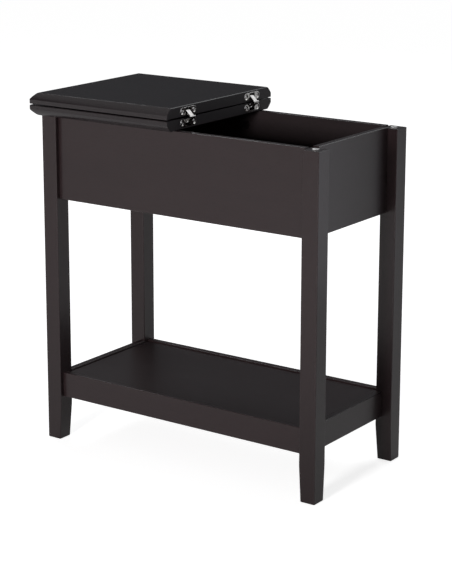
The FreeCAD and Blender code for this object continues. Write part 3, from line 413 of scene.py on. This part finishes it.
def dressNode(name, material):
    mesh = nodes[name].data
    mesh.materials.clear()
    mesh.materials.append(material)


for board, (along, seed, tone) in boards.items():
    lastWord = board.split("_")[-1]
    finish = finishes.get(board) or finishes.get(lastWord, lacquer)
    dressNode(board, lacquerMaterial(board, along, seed, tone, finish, lastWord == "leaf"))
print("boards lacquered:", len(boards))

mergeReach = 1e-6  # metres, within which a copy's loose triangles are joined

# leaves: the arrises of their undersides and meeting ends are sanded off, on a merged copy of each solid
sanded = {
    "endReach": 0.0016, "reach": 0.0008, "steps": 4,
    "leastTurn": 20, "leastRun": 0.10,     # which arrises: degrees and metres
    "sameLevel": 1e-5, "flatTurn": 0.1,
    "flatArea": 0.0015, "creaseTurn": 28,  # larger faces stay flat, sharper edges stay crisp
}


# One end meets the other leaf; underside is the height of the face that is down when the table is closed.
def sandLeaf(name, underside, body, settings):
    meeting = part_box(name)[1].x
    work = bmesh.new()
    work.from_mesh(nodes[name].data)
    bmesh.ops.remove_doubles(work, verts=work.verts, dist=mergeReach)
    bmesh.ops.dissolve_limit(work, angle_limit=math.radians(settings["flatTurn"]),
                             verts=work.verts[:], edges=work.edges[:])
    eased = 0
    for axis, place, reach in ((0, meeting, settings["endReach"]), (2, underside, settings["reach"])):
        arrises = [edge for edge in work.edges
                   if edge.calc_length() > settings["leastRun"]
                   and edge.calc_face_angle(0.0) > math.radians(settings["leastTurn"])
                   and all(abs(vert.co[axis] - place) < settings["sameLevel"] for vert in edge.verts)]
        bmesh.ops.bevel(work, geom=arrises, offset=reach, offset_type="OFFSET",
                        segments=settings["steps"], profile=0.5, affect="EDGES", clamp_overlap=False)
        eased += len(arrises)
    for face in work.faces:
        face.smooth = face.calc_area() < settings["flatArea"]
    for edge in work.edges:
        edge.smooth = edge.calc_face_angle(0.0) < math.radians(settings["creaseTurn"])
    mesh = bpy.data.meshes.new("sanded_" + name)
    work.to_mesh(mesh)
    work.free()
    mesh.materials.append(nodes[name].data.materials[0])
    leaf = bpy.data.objects.new("sanded_" + name, mesh)
    scene.collection.objects.link(leaf)
    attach(leaf, body)
    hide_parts(name)
    return eased


eased = sandLeaf("fixed_leaf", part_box("fixed_leaf")[0].z, "frame", sanded)
eased += sandLeaf("flip_leaf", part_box("flip_leaf")[1].z, "flip_leaf", sanded)  # it lies upside down at rest
print("leaf arrises eased:", eased)


# metals
hingeNickel = {
    "bright": (0.44, 0.43, 0.42, 1), "dull": (0.28, 0.265, 0.25, 1), "dullShare": 0.7,
    "roughness": 0.10, "roughSpread": 0.08, "scratchRough": 0.08,
    "scratchScale": 900.0, "bumpDepth": 0.00002, "bumpStrength": 0.25,
}
plateNickel = dict(hingeNickel, bright=(0.72, 0.71, 0.69, 1), dull=(0.50, 0.48, 0.46, 1))
zincCast = dict(hingeNickel, bright=(0.52, 0.53, 0.55, 1), dull=(0.30, 0.31, 0.33, 1),
                roughness=0.42, roughSpread=0.20, scratchScale=500.0, bumpDepth=0.00005, bumpStrength=0.5)
boltSteel = dict(hingeNickel, bright=(0.55, 0.54, 0.52, 1), dull=(0.33, 0.31, 0.28, 1),
                 roughness=0.30, roughSpread=0.16, scratchScale=700.0, bumpDepth=0.00003, bumpStrength=0.4)
screwSteel = dict(hingeNickel, bright=(0.78, 0.77, 0.75, 1), dull=(0.52, 0.50, 0.47, 1),
                  roughness=0.20, roughSpread=0.14, scratchScale=1100.0, bumpStrength=0.3)
platingPattern = {
    "clouds": {"scale": 240.0, "detail": 4, "rough": 0.6, "warp": 0.4},
    "cloudRange": (0.38, 0.66), "cloudHeight": 0.5,
    "scratchTurns": ((0.2, 0.9, 0.4), (1.1, 0.2, 1.3)), "scratchStretch": (0.06, 1, 1),
    "scratches": {"scale": 1.0, "detail": 2, "rough": 0.6},
    "scratchRange": (0.62, 0.70), "scratchDepth": 0.5,
}


# Patchy plating: clouds of dulling, fine crossing scratches.
def buildMetalGroup(pattern):
    group, given, out = newGroup("platedMetal", {"Vector": None, "Scratch Scale": 800.0},
                                 ("Dulling", "Scratches", "Height"))
    clouds = noise(group, given["Vector"], pattern["clouds"])
    lines = []
    for turn in pattern["scratchTurns"]:
        stretched = mapping(group, given["Vector"], turn=turn, scale=pattern["scratchStretch"])
        sized = scaleVector(group, stretched, given["Scratch Scale"])
        lines.append(mapRange(group, noise(group, sized, pattern["scratches"]), *pattern["scratchRange"]))
    scratches = calc(group, "MAXIMUM", *lines)
    height = minus(group, times(group, clouds, pattern["cloudHeight"]),
                   times(group, scratches, pattern["scratchDepth"]))
    feed(group, out["Dulling"], mapRange(group, clouds, *pattern["cloudRange"]))
    feed(group, out["Scratches"], scratches)
    feed(group, out["Height"], height)
    return group


metalGroup = buildMetalGroup(platingPattern)


def metalMaterial(name, finish):
    material, tree, shader, where = newMaterial(name)
    worn = groupNode(tree, metalGroup, Vector=where, Scratch_Scale=finish["scratchScale"])
    color = blendColor(tree, times(tree, worn["Dulling"], finish["dullShare"]), finish["bright"], finish["dull"])
    rough = plus(tree, finish["roughness"], times(tree, worn["Dulling"], finish["roughSpread"]))
    rough = plus(tree, rough, times(tree, worn["Scratches"], finish["scratchRough"]), clamp=True)
    feed(tree, shader.inputs["Base Color"], color)
    feed(tree, shader.inputs["Roughness"], rough)
    shader.inputs["Metallic"].default_value = 1.0
    addBump(tree, shader, worn["Height"], finish["bumpStrength"], finish["bumpDepth"])
    return material


nickelMaterial = metalMaterial("hingeNickel", hingeNickel)
plateMaterial = metalMaterial("plateNickel", plateNickel)
zincMaterial = metalMaterial("zincCast", zincCast)
boltMaterial = metalMaterial("boltSteel", boltSteel)
screwMaterial = metalMaterial("screwSteel", screwSteel)
for name in nodes:
    if "hinge" in name:
        dressNode(name, plateMaterial if name.endswith("plate") else nickelMaterial)
    elif name.endswith("cam_locks"):
        dressNode(name, zincMaterial)
    elif name.endswith("cam_bolts"):
        dressNode(name, boltMaterial)
print("metals dressed")


# beech, clear pads and dark caps
beech = {
    "pale": (0.56, 0.40, 0.25, 1), "warm": (0.42, 0.27, 0.15, 1),
    "fleck": (0.26, 0.15, 0.08, 1), "fleckShare": 0.6, "fleckRange": (0.62, 0.70),
    "flecks": {"stretch": (1, 1, 0.35), "scale": 900.0, "detail": 2, "rough": 0.5},
    "grainScale": 1.6, "toneRange": (0.3, 0.7), "roughRange": (0.56, 0.70),
    "bumpStrength": 1.0, "bumpDepth": 0.00005,
}
clearPad = {
    "color": (0.97, 0.975, 0.98, 1), "hazeTone": 0.9,
    "haze": {"scale": 420.0, "detail": 3, "rough": 0.55}, "hazeRange": (0.35, 0.70),
    "side": (0.055, 0.048, 0.050, 1),  # painted shade: the sides are painted dark in place of the dark wood seen through the clear plastic
    "crownBand": (0.0015, 0.0012),     # down from the top
    "roughRange": (0.07, 0.15), "transmission": 0.10, "ior": 1.50,
    "bumpStrength": 0.3, "bumpDepth": 0.00005,
}
darkCap = {
    "color": (0.0120, 0.0085, 0.0090, 1), "scuffed": (0.0260, 0.0210, 0.0210, 1),
    "speckle": {"scale": 1500.0, "detail": 2, "rough": 0.5},  # moulded plastic's fine texture
    "speckleRange": (0.4, 0.7), "scuffShare": 0.5,
    "roughness": 0.34, "roughSpread": 0.3, "dust": 0.8,
    "bumpStrength": 0.4, "bumpDepth": 0.00004,
}


def beechMaterial(name, finish):
    material, tree, shader, where = newMaterial(name)
    placed = mapping(tree, where, turn=turns["z"])
    grain = groupNode(tree, grainGroup, Vector=placed, Grain_Scale=finish["grainScale"])
    color = blendColor(tree, grain["Tone"], finish["warm"], finish["pale"])
    flecks = mapRange(tree, noise(tree, where, finish["flecks"]), *finish["fleckRange"])
    color = blendColor(tree, times(tree, flecks, finish["fleckShare"]), color, finish["fleck"])
    rough = mapRange(tree, grain["Tone"], *finish["toneRange"], *finish["roughRange"])
    feed(tree, shader.inputs["Base Color"], color)
    feed(tree, shader.inputs["Roughness"], rough)
    addBump(tree, shader, grain["Height"], finish["bumpStrength"], finish["bumpDepth"])
    return material


def clearPadMaterial(name, finish):
    material, tree, shader, where = newMaterial(name)
    haze = mapRange(tree, noise(tree, where, finish["haze"]), *finish["hazeRange"])
    color = blendColor(tree, haze, finish["color"], toned(finish["color"], finish["hazeTone"]))
    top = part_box("post_bumpers")[1].z
    sideEnd, crownStart = finish["crownBand"]
    crown = mapRange(tree, splitVector(tree, where)[2], top - sideEnd, top - crownStart)
    # below the crown the pad is painted dark: painted shade for the wood seen through its sides
    feed(tree, shader.inputs["Base Color"], blendColor(tree, crown, finish["side"], color))
    feed(tree, shader.inputs["Roughness"], mapRange(tree, haze, 0.0, 1.0, *finish["roughRange"]))
    shader.inputs["IOR"].default_value = finish["ior"]
    shader.inputs["Transmission Weight"].default_value = finish["transmission"]
    addBump(tree, shader, haze, finish["bumpStrength"], finish["bumpDepth"])
    return material


def darkCapMaterial(name, finish):
    material, tree, shader, where = newMaterial(name)
    dust = groupNode(tree, dustGroup, Vector=where, Amount=finish["dust"])
    speckle = noise(tree, where, finish["speckle"])
    scuffs = mapRange(tree, speckle, *finish["speckleRange"], 0.0, finish["scuffShare"])
    rough = plus(tree, finish["roughness"], times(tree, dust["Rough Shift"], finish["roughSpread"]))
    feed(tree, shader.inputs["Base Color"], blendColor(tree, scuffs, finish["color"], finish["scuffed"]))
    feed(tree, shader.inputs["Roughness"], rough)
    addBump(tree, shader, speckle, finish["bumpStrength"], finish["bumpDepth"])
    return material


beechWood = beechMaterial("beechDowel", beech)
padPlastic = clearPadMaterial("clearPad", clearPad)
capPlastic = darkCapMaterial("darkCap", darkCap)


# small turned parts, each made once by Geometry Nodes and set at its places
# Where a node's separate solids are: centre, direction of the longest or shortest side, and high corner.
def placesOf(name, side):
    mesh = bmesh.new()
    mesh.from_mesh(nodes[name].data)
    bmesh.ops.remove_doubles(mesh, verts=mesh.verts, dist=mergeReach)
    waiting = set(mesh.verts)
    found = []
    while waiting:
        island, frontier = [], [waiting.pop()]
        while frontier:
            vert = frontier.pop()
            island.append(vert)
            for link in vert.link_edges:
                other = link.other_vert(vert)
                if other in waiting:
                    waiting.remove(other)
                    frontier.append(other)
        low = Vector([min(vert.co[axis] for vert in island) for axis in range(3)])
        high = Vector([max(vert.co[axis] for vert in island) for axis in range(3)])
        size = high - low
        order = sorted(range(3), key=lambda axis: size[axis])
        along = order[-1] if side == "longest" else order[0]
        direction = Vector([1.0 if axis == along else 0.0 for axis in range(3)])
        found.append(((low + high) / 2, direction, high))
    mesh.free()
    return sorted(found, key=lambda item: tuple(round(part, 5) for part in item[0]))


# A mesh of bare points, each with the direction that its part faces.
def pointCloud(name, places):
    mesh = bpy.data.meshes.new(name)
    mesh.from_pydata([tuple(point) for point, direction in places], [], [])
    facing = mesh.attributes.new("facing", "FLOAT_VECTOR", "POINT")
    for item, (point, direction) in zip(facing.data, places):
        item.vector = direction
    cloud = bpy.data.objects.new(name, mesh)
    scene.collection.objects.link(cloud)
    return cloud


def treeStart(name, sizes):
    tree = bpy.data.node_groups.new(name, "GeometryNodeTree")
    newSocket(tree, "Geometry", "NodeSocketGeometry")
    for label, value in sizes.items():
        kind = "NodeSocketInt" if isinstance(value, int) else "NodeSocketFloat"
        newSocket(tree, label, kind, value=value)
    newSocket(tree, "Material", "NodeSocketMaterial")
    newSocket(tree, "Geometry", "NodeSocketGeometry", "OUTPUT")
    return tree, tree.nodes.new("NodeGroupInput").outputs, tree.nodes.new("NodeGroupOutput")


# Sets the part on every point, turned to face its way.
def treeEnd(tree, given, end, part):
    facing = tree.nodes.new("GeometryNodeInputNamedAttribute")
    facing.data_type = "FLOAT_VECTOR"
    facing.inputs["Name"].default_value = "facing"
    turn = tree.nodes.new("FunctionNodeAlignRotationToVector")
    turn.axis = "Z"
    tree.links.new(facing.outputs["Attribute"], turn.inputs["Vector"])
    spread = tree.nodes.new("GeometryNodeInstanceOnPoints")
    tree.links.new(given["Geometry"], spread.inputs["Points"])
    tree.links.new(part, spread.inputs["Instance"])
    tree.links.new(turn.outputs[0], spread.inputs["Rotation"])
    real = tree.nodes.new("GeometryNodeRealizeInstances")
    tree.links.new(spread.outputs[0], real.inputs[0])
    paint = tree.nodes.new("GeometryNodeSetMaterial")
    tree.links.new(real.outputs[0], paint.inputs["Geometry"])
    tree.links.new(given["Material"], paint.inputs["Material"])
    tree.links.new(paint.outputs[0], end.inputs["Geometry"])


def cylinderNode(tree, around, along, radius, depth):
    node = tree.nodes.new("GeometryNodeMeshCylinder")
    node.fill_type = "NGON"
    feed(tree, node.inputs["Vertices"], around)
    feed(tree, node.inputs["Side Segments"], along)
    feed(tree, node.inputs["Radius"], radius)
    feed(tree, node.inputs["Depth"], depth)
    return node.outputs["Mesh"]


def pointPlace(tree):
    return splitVector(tree, tree.nodes.new("GeometryNodeInputPosition").outputs[0])


def movePoints(tree, part, x, y, z):
    node = tree.nodes.new("GeometryNodeSetPosition")
    tree.links.new(part, node.inputs["Geometry"])
    tree.links.new(joinVector(tree, x, y, z), node.inputs["Position"])
    return node.outputs[0]


# Straight-sided outline of a turned part: radius share against length share.
def profileCurve(tree, value, points):
    node = tree.nodes.new("ShaderNodeFloatCurve")
    curve = node.mapping.curves[0]
    while len(curve.points) < len(points):
        curve.points.new(0.5, 0.5)
    for handle, (x, y) in zip(curve.points, points):
        handle.location = (x, y)
        handle.handle_type = "VECTOR"
    node.mapping.update()
    feed(tree, node.inputs["Value"], value)
    return node.outputs[0]


# A fluted dowel with its ends eased.
def buildDowelTree(sizes):
    pointsPerFlute, ringCount, gather, fluteSharpness, endShare = 6, 6, 3.0, 3.0, 0.99
    tree, given, end = treeStart("flutedDowel", sizes)
    radius = times(tree, given["Diameter"], 0.5)
    rod = cylinderNode(tree, times(tree, given["Flutes"], pointsPerFlute), ringCount, radius, given["Length"])
    x, y, z = pointPlace(tree)
    half = times(tree, given["Length"], 0.5)
    share = calc(tree, "ABSOLUTE", calc(tree, "DIVIDE", z, half))
    # the rings gather near the ends, where the chamfers are
    gathered = minus(tree, 1.0, calc(tree, "POWER", minus(tree, 1.0, share), gather))
    newZ = times(tree, times(tree, calc(tree, "SIGN", z), gathered), half)
    turned = times(tree, calc(tree, "ARCTAN2", y, x), given["Flutes"])
    wave = plus(tree, 0.5, times(tree, 0.5, calc(tree, "COSINE", turned)))
    groove = times(tree, calc(tree, "POWER", wave, fluteSharpness), given["Flute Depth"])
    atEnd = calc(tree, "GREATER_THAN", share, endShare)
    taken = plus(tree, groove, times(tree, atEnd, given["Chamfer"]))
    size = calc(tree, "DIVIDE", minus(tree, radius, taken), radius)
    treeEnd(tree, given, end, movePoints(tree, rod, times(tree, x, size), times(tree, y, size), newZ))
    return tree


# A low moulded disc, its crown following an outline, centred on its point and facing +Z.
def buildDiscTree(name, sizes, outline):
    pointsAround = 64
    tree, given, end = treeStart(name, sizes)
    radius = times(tree, given["Diameter"], 0.5)
    disc = cylinderNode(tree, pointsAround, given["Rings"], radius, given["Height"])
    x, y, z = pointPlace(tree)
    share = plus(tree, calc(tree, "DIVIDE", z, given["Height"]), 0.5)
    size = profileCurve(tree, share, outline)
    treeEnd(tree, given, end, movePoints(tree, disc, times(tree, x, size), times(tree, y, size), z))
    return tree


# A raised countersunk wood screw with a cross recess; its head's top is at the point, the tip towards -Z.
def buildScrewTree(sizes, outline, threadStart, threadEnd):
    pointsAround, ringCount = 40, 110
    tree, given, end = treeStart("crossHeadScrew", sizes)
    radius = times(tree, given["Head Diameter"], 0.5)
    blank = cylinderNode(tree, pointsAround, ringCount, radius, given["Length"])
    x, y, z = pointPlace(tree)
    down = minus(tree, times(tree, given["Length"], 0.5), z)
    share = calc(tree, "DIVIDE", down, given["Length"])
    angle = calc(tree, "DIVIDE", calc(tree, "ARCTAN2", y, x), 2 * math.pi)
    turn = calc(tree, "FRACT", plus(tree, calc(tree, "DIVIDE", down, given["Pitch"]), angle))
    tooth = calc(tree, "ABSOLUTE", minus(tree, times(tree, turn, 2.0), 1.0))
    threaded = times(tree, mapRange(tree, share, *threadStart), mapRange(tree, share, *threadEnd, 1.0, 0.0))
    root = times(tree, times(tree, minus(tree, 1.0, tooth), threaded), given["Thread Depth"])
    size = minus(tree, profileCurve(tree, share, outline), calc(tree, "DIVIDE", root, radius))
    screw = movePoints(tree, blank, times(tree, x, size), times(tree, y, size), times(tree, down, -1.0))
    recess = tree.nodes.new("GeometryNodeMeshBoolean")
    recess.operation = "DIFFERENCE"
    recess.solver = "EXACT"
    tree.links.new(screw, recess.inputs["Mesh 1"])
    deep = times(tree, given["Recess Depth"], 2.0)
    for wide, long in (("Recess Width", "Recess Span"), ("Recess Span", "Recess Width")):
        wing = tree.nodes.new("GeometryNodeMeshCube")
        tree.links.new(joinVector(tree, given[wide], given[long], deep), wing.inputs["Size"])
        tree.links.new(wing.outputs["Mesh"], recess.inputs["Mesh 2"])
    treeEnd(tree, given, end, recess.outputs["Mesh"])
    return tree


# Runs the tree on a cloud of points and keeps the plain mesh.
def grow(cloud, tree, values, material, name):
    modifier = cloud.modifiers.new("grow", "NODES")
    modifier.node_group = tree
    sockets = {item.name: item.identifier for item in tree.interface.items_tree
               if item.item_type == "SOCKET" and item.in_out == "INPUT"}
    for label, value in values.items():
        modifier[sockets[label]] = value
    modifier[sockets["Material"]] = material
    bpy.context.view_layer.update()
    evaluated = cloud.evaluated_get(bpy.context.evaluated_depsgraph_get())
    mesh = bpy.data.meshes.new_from_object(evaluated)
    mesh.name = name
    cloud.modifiers.remove(modifier)
    bpy.data.objects.remove(cloud)
    piece = bpy.data.objects.new(name, mesh)
    scene.collection.objects.link(piece)
    return piece


def smoothByAngle(piece, degrees):
    mesh = piece.data
    mesh.shade_smooth()
    work = bmesh.new()
    work.from_mesh(mesh)
    for edge in work.edges:
        if len(edge.link_faces) == 2:
            edge.smooth = edge.calc_face_angle(0.0) < math.radians(degrees)
    work.to_mesh(mesh)
    work.free()


dowelSizes = {"Diameter": 0.006, "Length": 0.030, "Flutes": 14, "Flute Depth": 0.00022, "Chamfer": 0.0006}
dowelCrease = 35
dowelTree = buildDowelTree(dowelSizes)
for name in ("panel_dowels", "rail_dowels", "floor_dowels", "shelf_dowels", "top_dowels"):
    cloud = pointCloud(name + "_points", [(centre, along) for centre, along, high in placesOf(name, "longest")])
    fluted = grow(cloud, dowelTree, dowelSizes, beechWood, "fluted_" + name)
    smoothByAngle(fluted, dowelCrease)
    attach(fluted, "frame")
    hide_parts(name)
print("dowels fluted")

capSizes = {"Diameter": 0.014, "Height": 0.0008, "Rings": 8}
capOutline = [(0.0, 1.0), (0.55, 1.0), (0.75, 0.985), (0.90, 0.95), (1.0, 0.88)]
capCrease = 30
capTree = buildDiscTree("coverCap", capSizes, capOutline)
middleOfTable = (cadBox[0] + cadBox[1]) / 2
capPlaces = []
for centre, across, high in placesOf("compartment_cam_caps", "shortest"):
    inward = 1.0 if (middleOfTable - centre).dot(across) > 0 else -1.0
    capPlaces.append((centre, across * inward))
caps = grow(pointCloud("cap_points", capPlaces), capTree, capSizes, capPlastic, "compartment_caps")
smoothByAngle(caps, capCrease)
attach(caps, "frame")
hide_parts("compartment_cam_caps")

padSizes = {"Diameter": 0.012, "Height": 0.002, "Rings": 14}
padOutline = [(0.0, 0.985), (0.08, 1.0), (0.38, 1.0), (0.55, 0.975), (0.70, 0.92), (0.83, 0.82),
              (0.93, 0.66), (1.0, 0.40)]
padCrease = 40
padTree = buildDiscTree("clearBumper", padSizes, padOutline)
padPlaces = [(centre, Vector((0, 0, 1))) for centre, across, high in placesOf("post_bumpers", "shortest")]
pads = grow(pointCloud("pad_points", padPlaces), padTree, padSizes, padPlastic, "clear_bumpers")
smoothByAngle(pads, padCrease)
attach(pads, "frame")
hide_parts("post_bumpers")
print("caps and pads moulded")

screwSizes = {"Head Diameter": 0.0068, "Length": 0.02035, "Pitch": 0.0018, "Thread Depth": 0.00045,
              "Recess Width": 0.0009, "Recess Span": 0.0040, "Recess Depth": 0.0016}
screwOutline = [(0.0, 0.50), (0.004, 0.72), (0.010, 0.90), (0.0175, 1.0), (0.099, 0.515),
                (0.30, 0.515), (0.82, 0.515), (0.92, 0.36), (1.0, 0.03)]
screwCrease = 38
screwTree = buildScrewTree(screwSizes, screwOutline, (0.30, 0.34), (0.93, 0.98))
for name, body in (("fixed_plate_screws", "frame"), ("flip_plate_screws", "flip_leaf")):
    places = [(Vector((high.x, centre.y, centre.z)), Vector((1, 0, 0)))
              for centre, along, high in placesOf(name, "longest")]
    screws = grow(pointCloud(name + "_points", places), screwTree, screwSizes, screwMaterial, "threaded_" + name)
    smoothByAngle(screws, screwCrease)
    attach(screws, body)
    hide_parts(name)
print("screws threaded")


# studio
floorSettings = {
    "level": -0.0003,        # a hair under the feet
    "reach": 70.0,
    "color": 0.80,
    "nearLift": 0.78,        # what the floor adds for the camera, near the table
    "farLift": 0.90,         # and far from the lamps
    "liftRange": (1.2, 3.2),
    "reflectedShare": 0.17,  # how much of that reflections see
}
sky = {"light": 0.112, "reflectedShare": 0.40}  # even light from all round, and how white it is in reflections
darkFlag = {  # a ring of dark cloth round the set, which keeps the lacquer and the plating deep
    "radius": 4.5, "low": 0.30, "high": 4.6, "sides": 48, "glow": 0.052, "tint": (0.95, 0.98, 1.05),
}
whiteCard = {  # a reflector close behind the right end, square to that end's reflections
    "edge": (0.620, 0.486, 0.0), "across": (0.813, -0.582, 0.0), "width": 0.80, "low": 0.19, "high": 1.10,
    "glow": 1.05, "tint": (0.975, 0.965, 1.03),
}
lamps = {  # place, aim, width, height, watts, colour, whether reflections see it
    "frontKey": ((0.35, -3.2, 1.00), (0.0, 0.0, 0.35), 0.5, 0.5, 66.0, (1.0, 0.985, 0.985), False),
    "frontLeft": ((-2.0, -2.7, 0.45), (0.0, 0.0, 0.35), 2.0, 0.8, 3.0, (1.0, 0.99, 0.98), True),
    "leftTop": ((-2.0, 1.4, 2.75), (0.0, 0.0, 0.6), 1.5, 1.0, 24.0, (0.97, 0.98, 1.0), True),
    "backTop": ((0.2, 2.6, 2.60), (0.0, 0.0, 0.6), 2.6, 1.4, 20.0, (0.96, 0.98, 1.0), True),
    "rightBack": ((1.3, 3.0, 0.65), (0.2, 0.0, 0.40), 2.2, 1.0, 2.0, (0.90, 0.95, 1.0), True),
}


def seenDirectly(tree, reflected):
    path = tree.nodes.new("ShaderNodeLightPath").outputs
    seen = calc(tree, "MAXIMUM", path["Is Camera Ray"], times(tree, path["Is Glossy Ray"], reflected))
    return calc(tree, "MAXIMUM", seen, path["Is Transmission Ray"])


def addStagePiece(name, corners, faces, material):
    mesh = bpy.data.meshes.new(name)
    mesh.from_pydata(corners, [], faces)
    mesh.materials.append(material)
    piece = bpy.data.objects.new(name, mesh)
    scene.collection.objects.link(piece)
    return piece


def addFloor(settings):
    material, tree, surface = emptyMaterial("studioFloor")
    matt = tree.nodes.new("ShaderNodeBsdfDiffuse")
    matt.inputs["Color"].default_value = toned((1, 1, 1), settings["color"])
    away = tree.nodes.new("ShaderNodeVectorMath")
    away.operation = "LENGTH"
    feed(tree, away.inputs[0], tree.nodes.new("ShaderNodeTexCoord").outputs["Object"])
    raised = mapRange(tree, away.outputs["Value"], *settings["liftRange"],
                      settings["nearLift"], settings["farLift"])
    lift = tree.nodes.new("ShaderNodeEmission")
    feed(tree, lift.inputs["Strength"], times(tree, seenDirectly(tree, settings["reflectedShare"]), raised))
    both = tree.nodes.new("ShaderNodeAddShader")
    feed(tree, both.inputs[0], matt.outputs[0])
    feed(tree, both.inputs[1], lift.outputs[0])
    oneSided = tree.nodes.new("ShaderNodeMixShader")  # clear from below, so that the undersides can be seen
    feed(tree, oneSided.inputs[0], tree.nodes.new("ShaderNodeNewGeometry").outputs["Backfacing"])
    feed(tree, oneSided.inputs[1], both.outputs[0])
    feed(tree, oneSided.inputs[2], tree.nodes.new("ShaderNodeBsdfTransparent").outputs[0])
    feed(tree, surface, oneSided.outputs[0])
    reach, level = settings["reach"], settings["level"]
    corners = [(-reach, -reach, level), (reach, -reach, level), (reach, reach, level), (-reach, reach, level)]
    addStagePiece("studioFloor", corners, [(0, 1, 2, 3)], material)


# A glowing surface that only reflections see.
def addReflector(name, corners, faces, settings):
    material, tree, surface = emptyMaterial(name)
    glow = tree.nodes.new("ShaderNodeEmission")
    glow.inputs["Color"].default_value = toned(settings["tint"], settings["glow"])
    feed(tree, surface, glow.outputs[0])
    piece = addStagePiece(name, corners, faces, material)
    piece.visible_camera = False
    piece.visible_diffuse = False
    piece.visible_transmission = False
    piece.visible_shadow = False
    piece.visible_volume_scatter = False


def addFlag(settings):
    sides, radius = settings["sides"], settings["radius"]
    angles = [2 * math.pi * step / sides for step in range(sides)]
    corners = [(radius * math.cos(angle), radius * math.sin(angle), level)
               for level in (settings["low"], settings["high"]) for angle in angles]
    faces = []
    for step in range(sides):
        after = (step + 1) % sides
        faces.append((after, step, sides + step, sides + after))
    addReflector("darkFlag", corners, faces, settings)


def addCard(settings):
    near = Vector(settings["edge"])
    far = near + Vector(settings["across"]) * settings["width"]
    low, high = Vector((0, 0, settings["low"])), Vector((0, 0, settings["high"]))
    corners = [near + low, far + low, far + high, near + high]
    addReflector("whiteCard", [tuple(corner) for corner in corners], [(0, 1, 2, 3)], settings)


def addLamp(name, place, aim, width, height, watts, color, mirrored):
    data = bpy.data.lights.new(name, "AREA")
    data.shape = "RECTANGLE"
    data.size, data.size_y = width, height
    data.energy = watts
    data.color = color
    lamp = bpy.data.objects.new(name, data)
    lamp.location = place
    lamp.rotation_euler = (Vector(aim) - Vector(place)).to_track_quat("-Z", "Y").to_euler()
    lamp.visible_camera = False
    lamp.visible_glossy = mirrored
    scene.collection.objects.link(lamp)


def addWorld(settings):
    world = bpy.data.worlds.new("studioWorld")
    scene.world = world
    world.use_nodes = True
    tree = world.node_tree
    tree.nodes.clear()
    back = tree.nodes.new("ShaderNodeBackground")
    back.inputs["Color"].default_value = (1, 1, 1, 1)
    seen = seenDirectly(tree, settings["reflectedShare"])
    feed(tree, back.inputs["Strength"], mapRange(tree, seen, 0.0, 1.0, settings["light"], 1.0, smooth=False))
    feed(tree, tree.nodes.new("ShaderNodeOutputWorld").inputs["Surface"], back.outputs[0])


addFloor(floorSettings)
addFlag(darkFlag)
addCard(whiteCard)
addWorld(sky)
for name, values in lamps.items():
    addLamp(name, *values)
scene.view_settings.view_transform = "Standard"
print("studio lit")
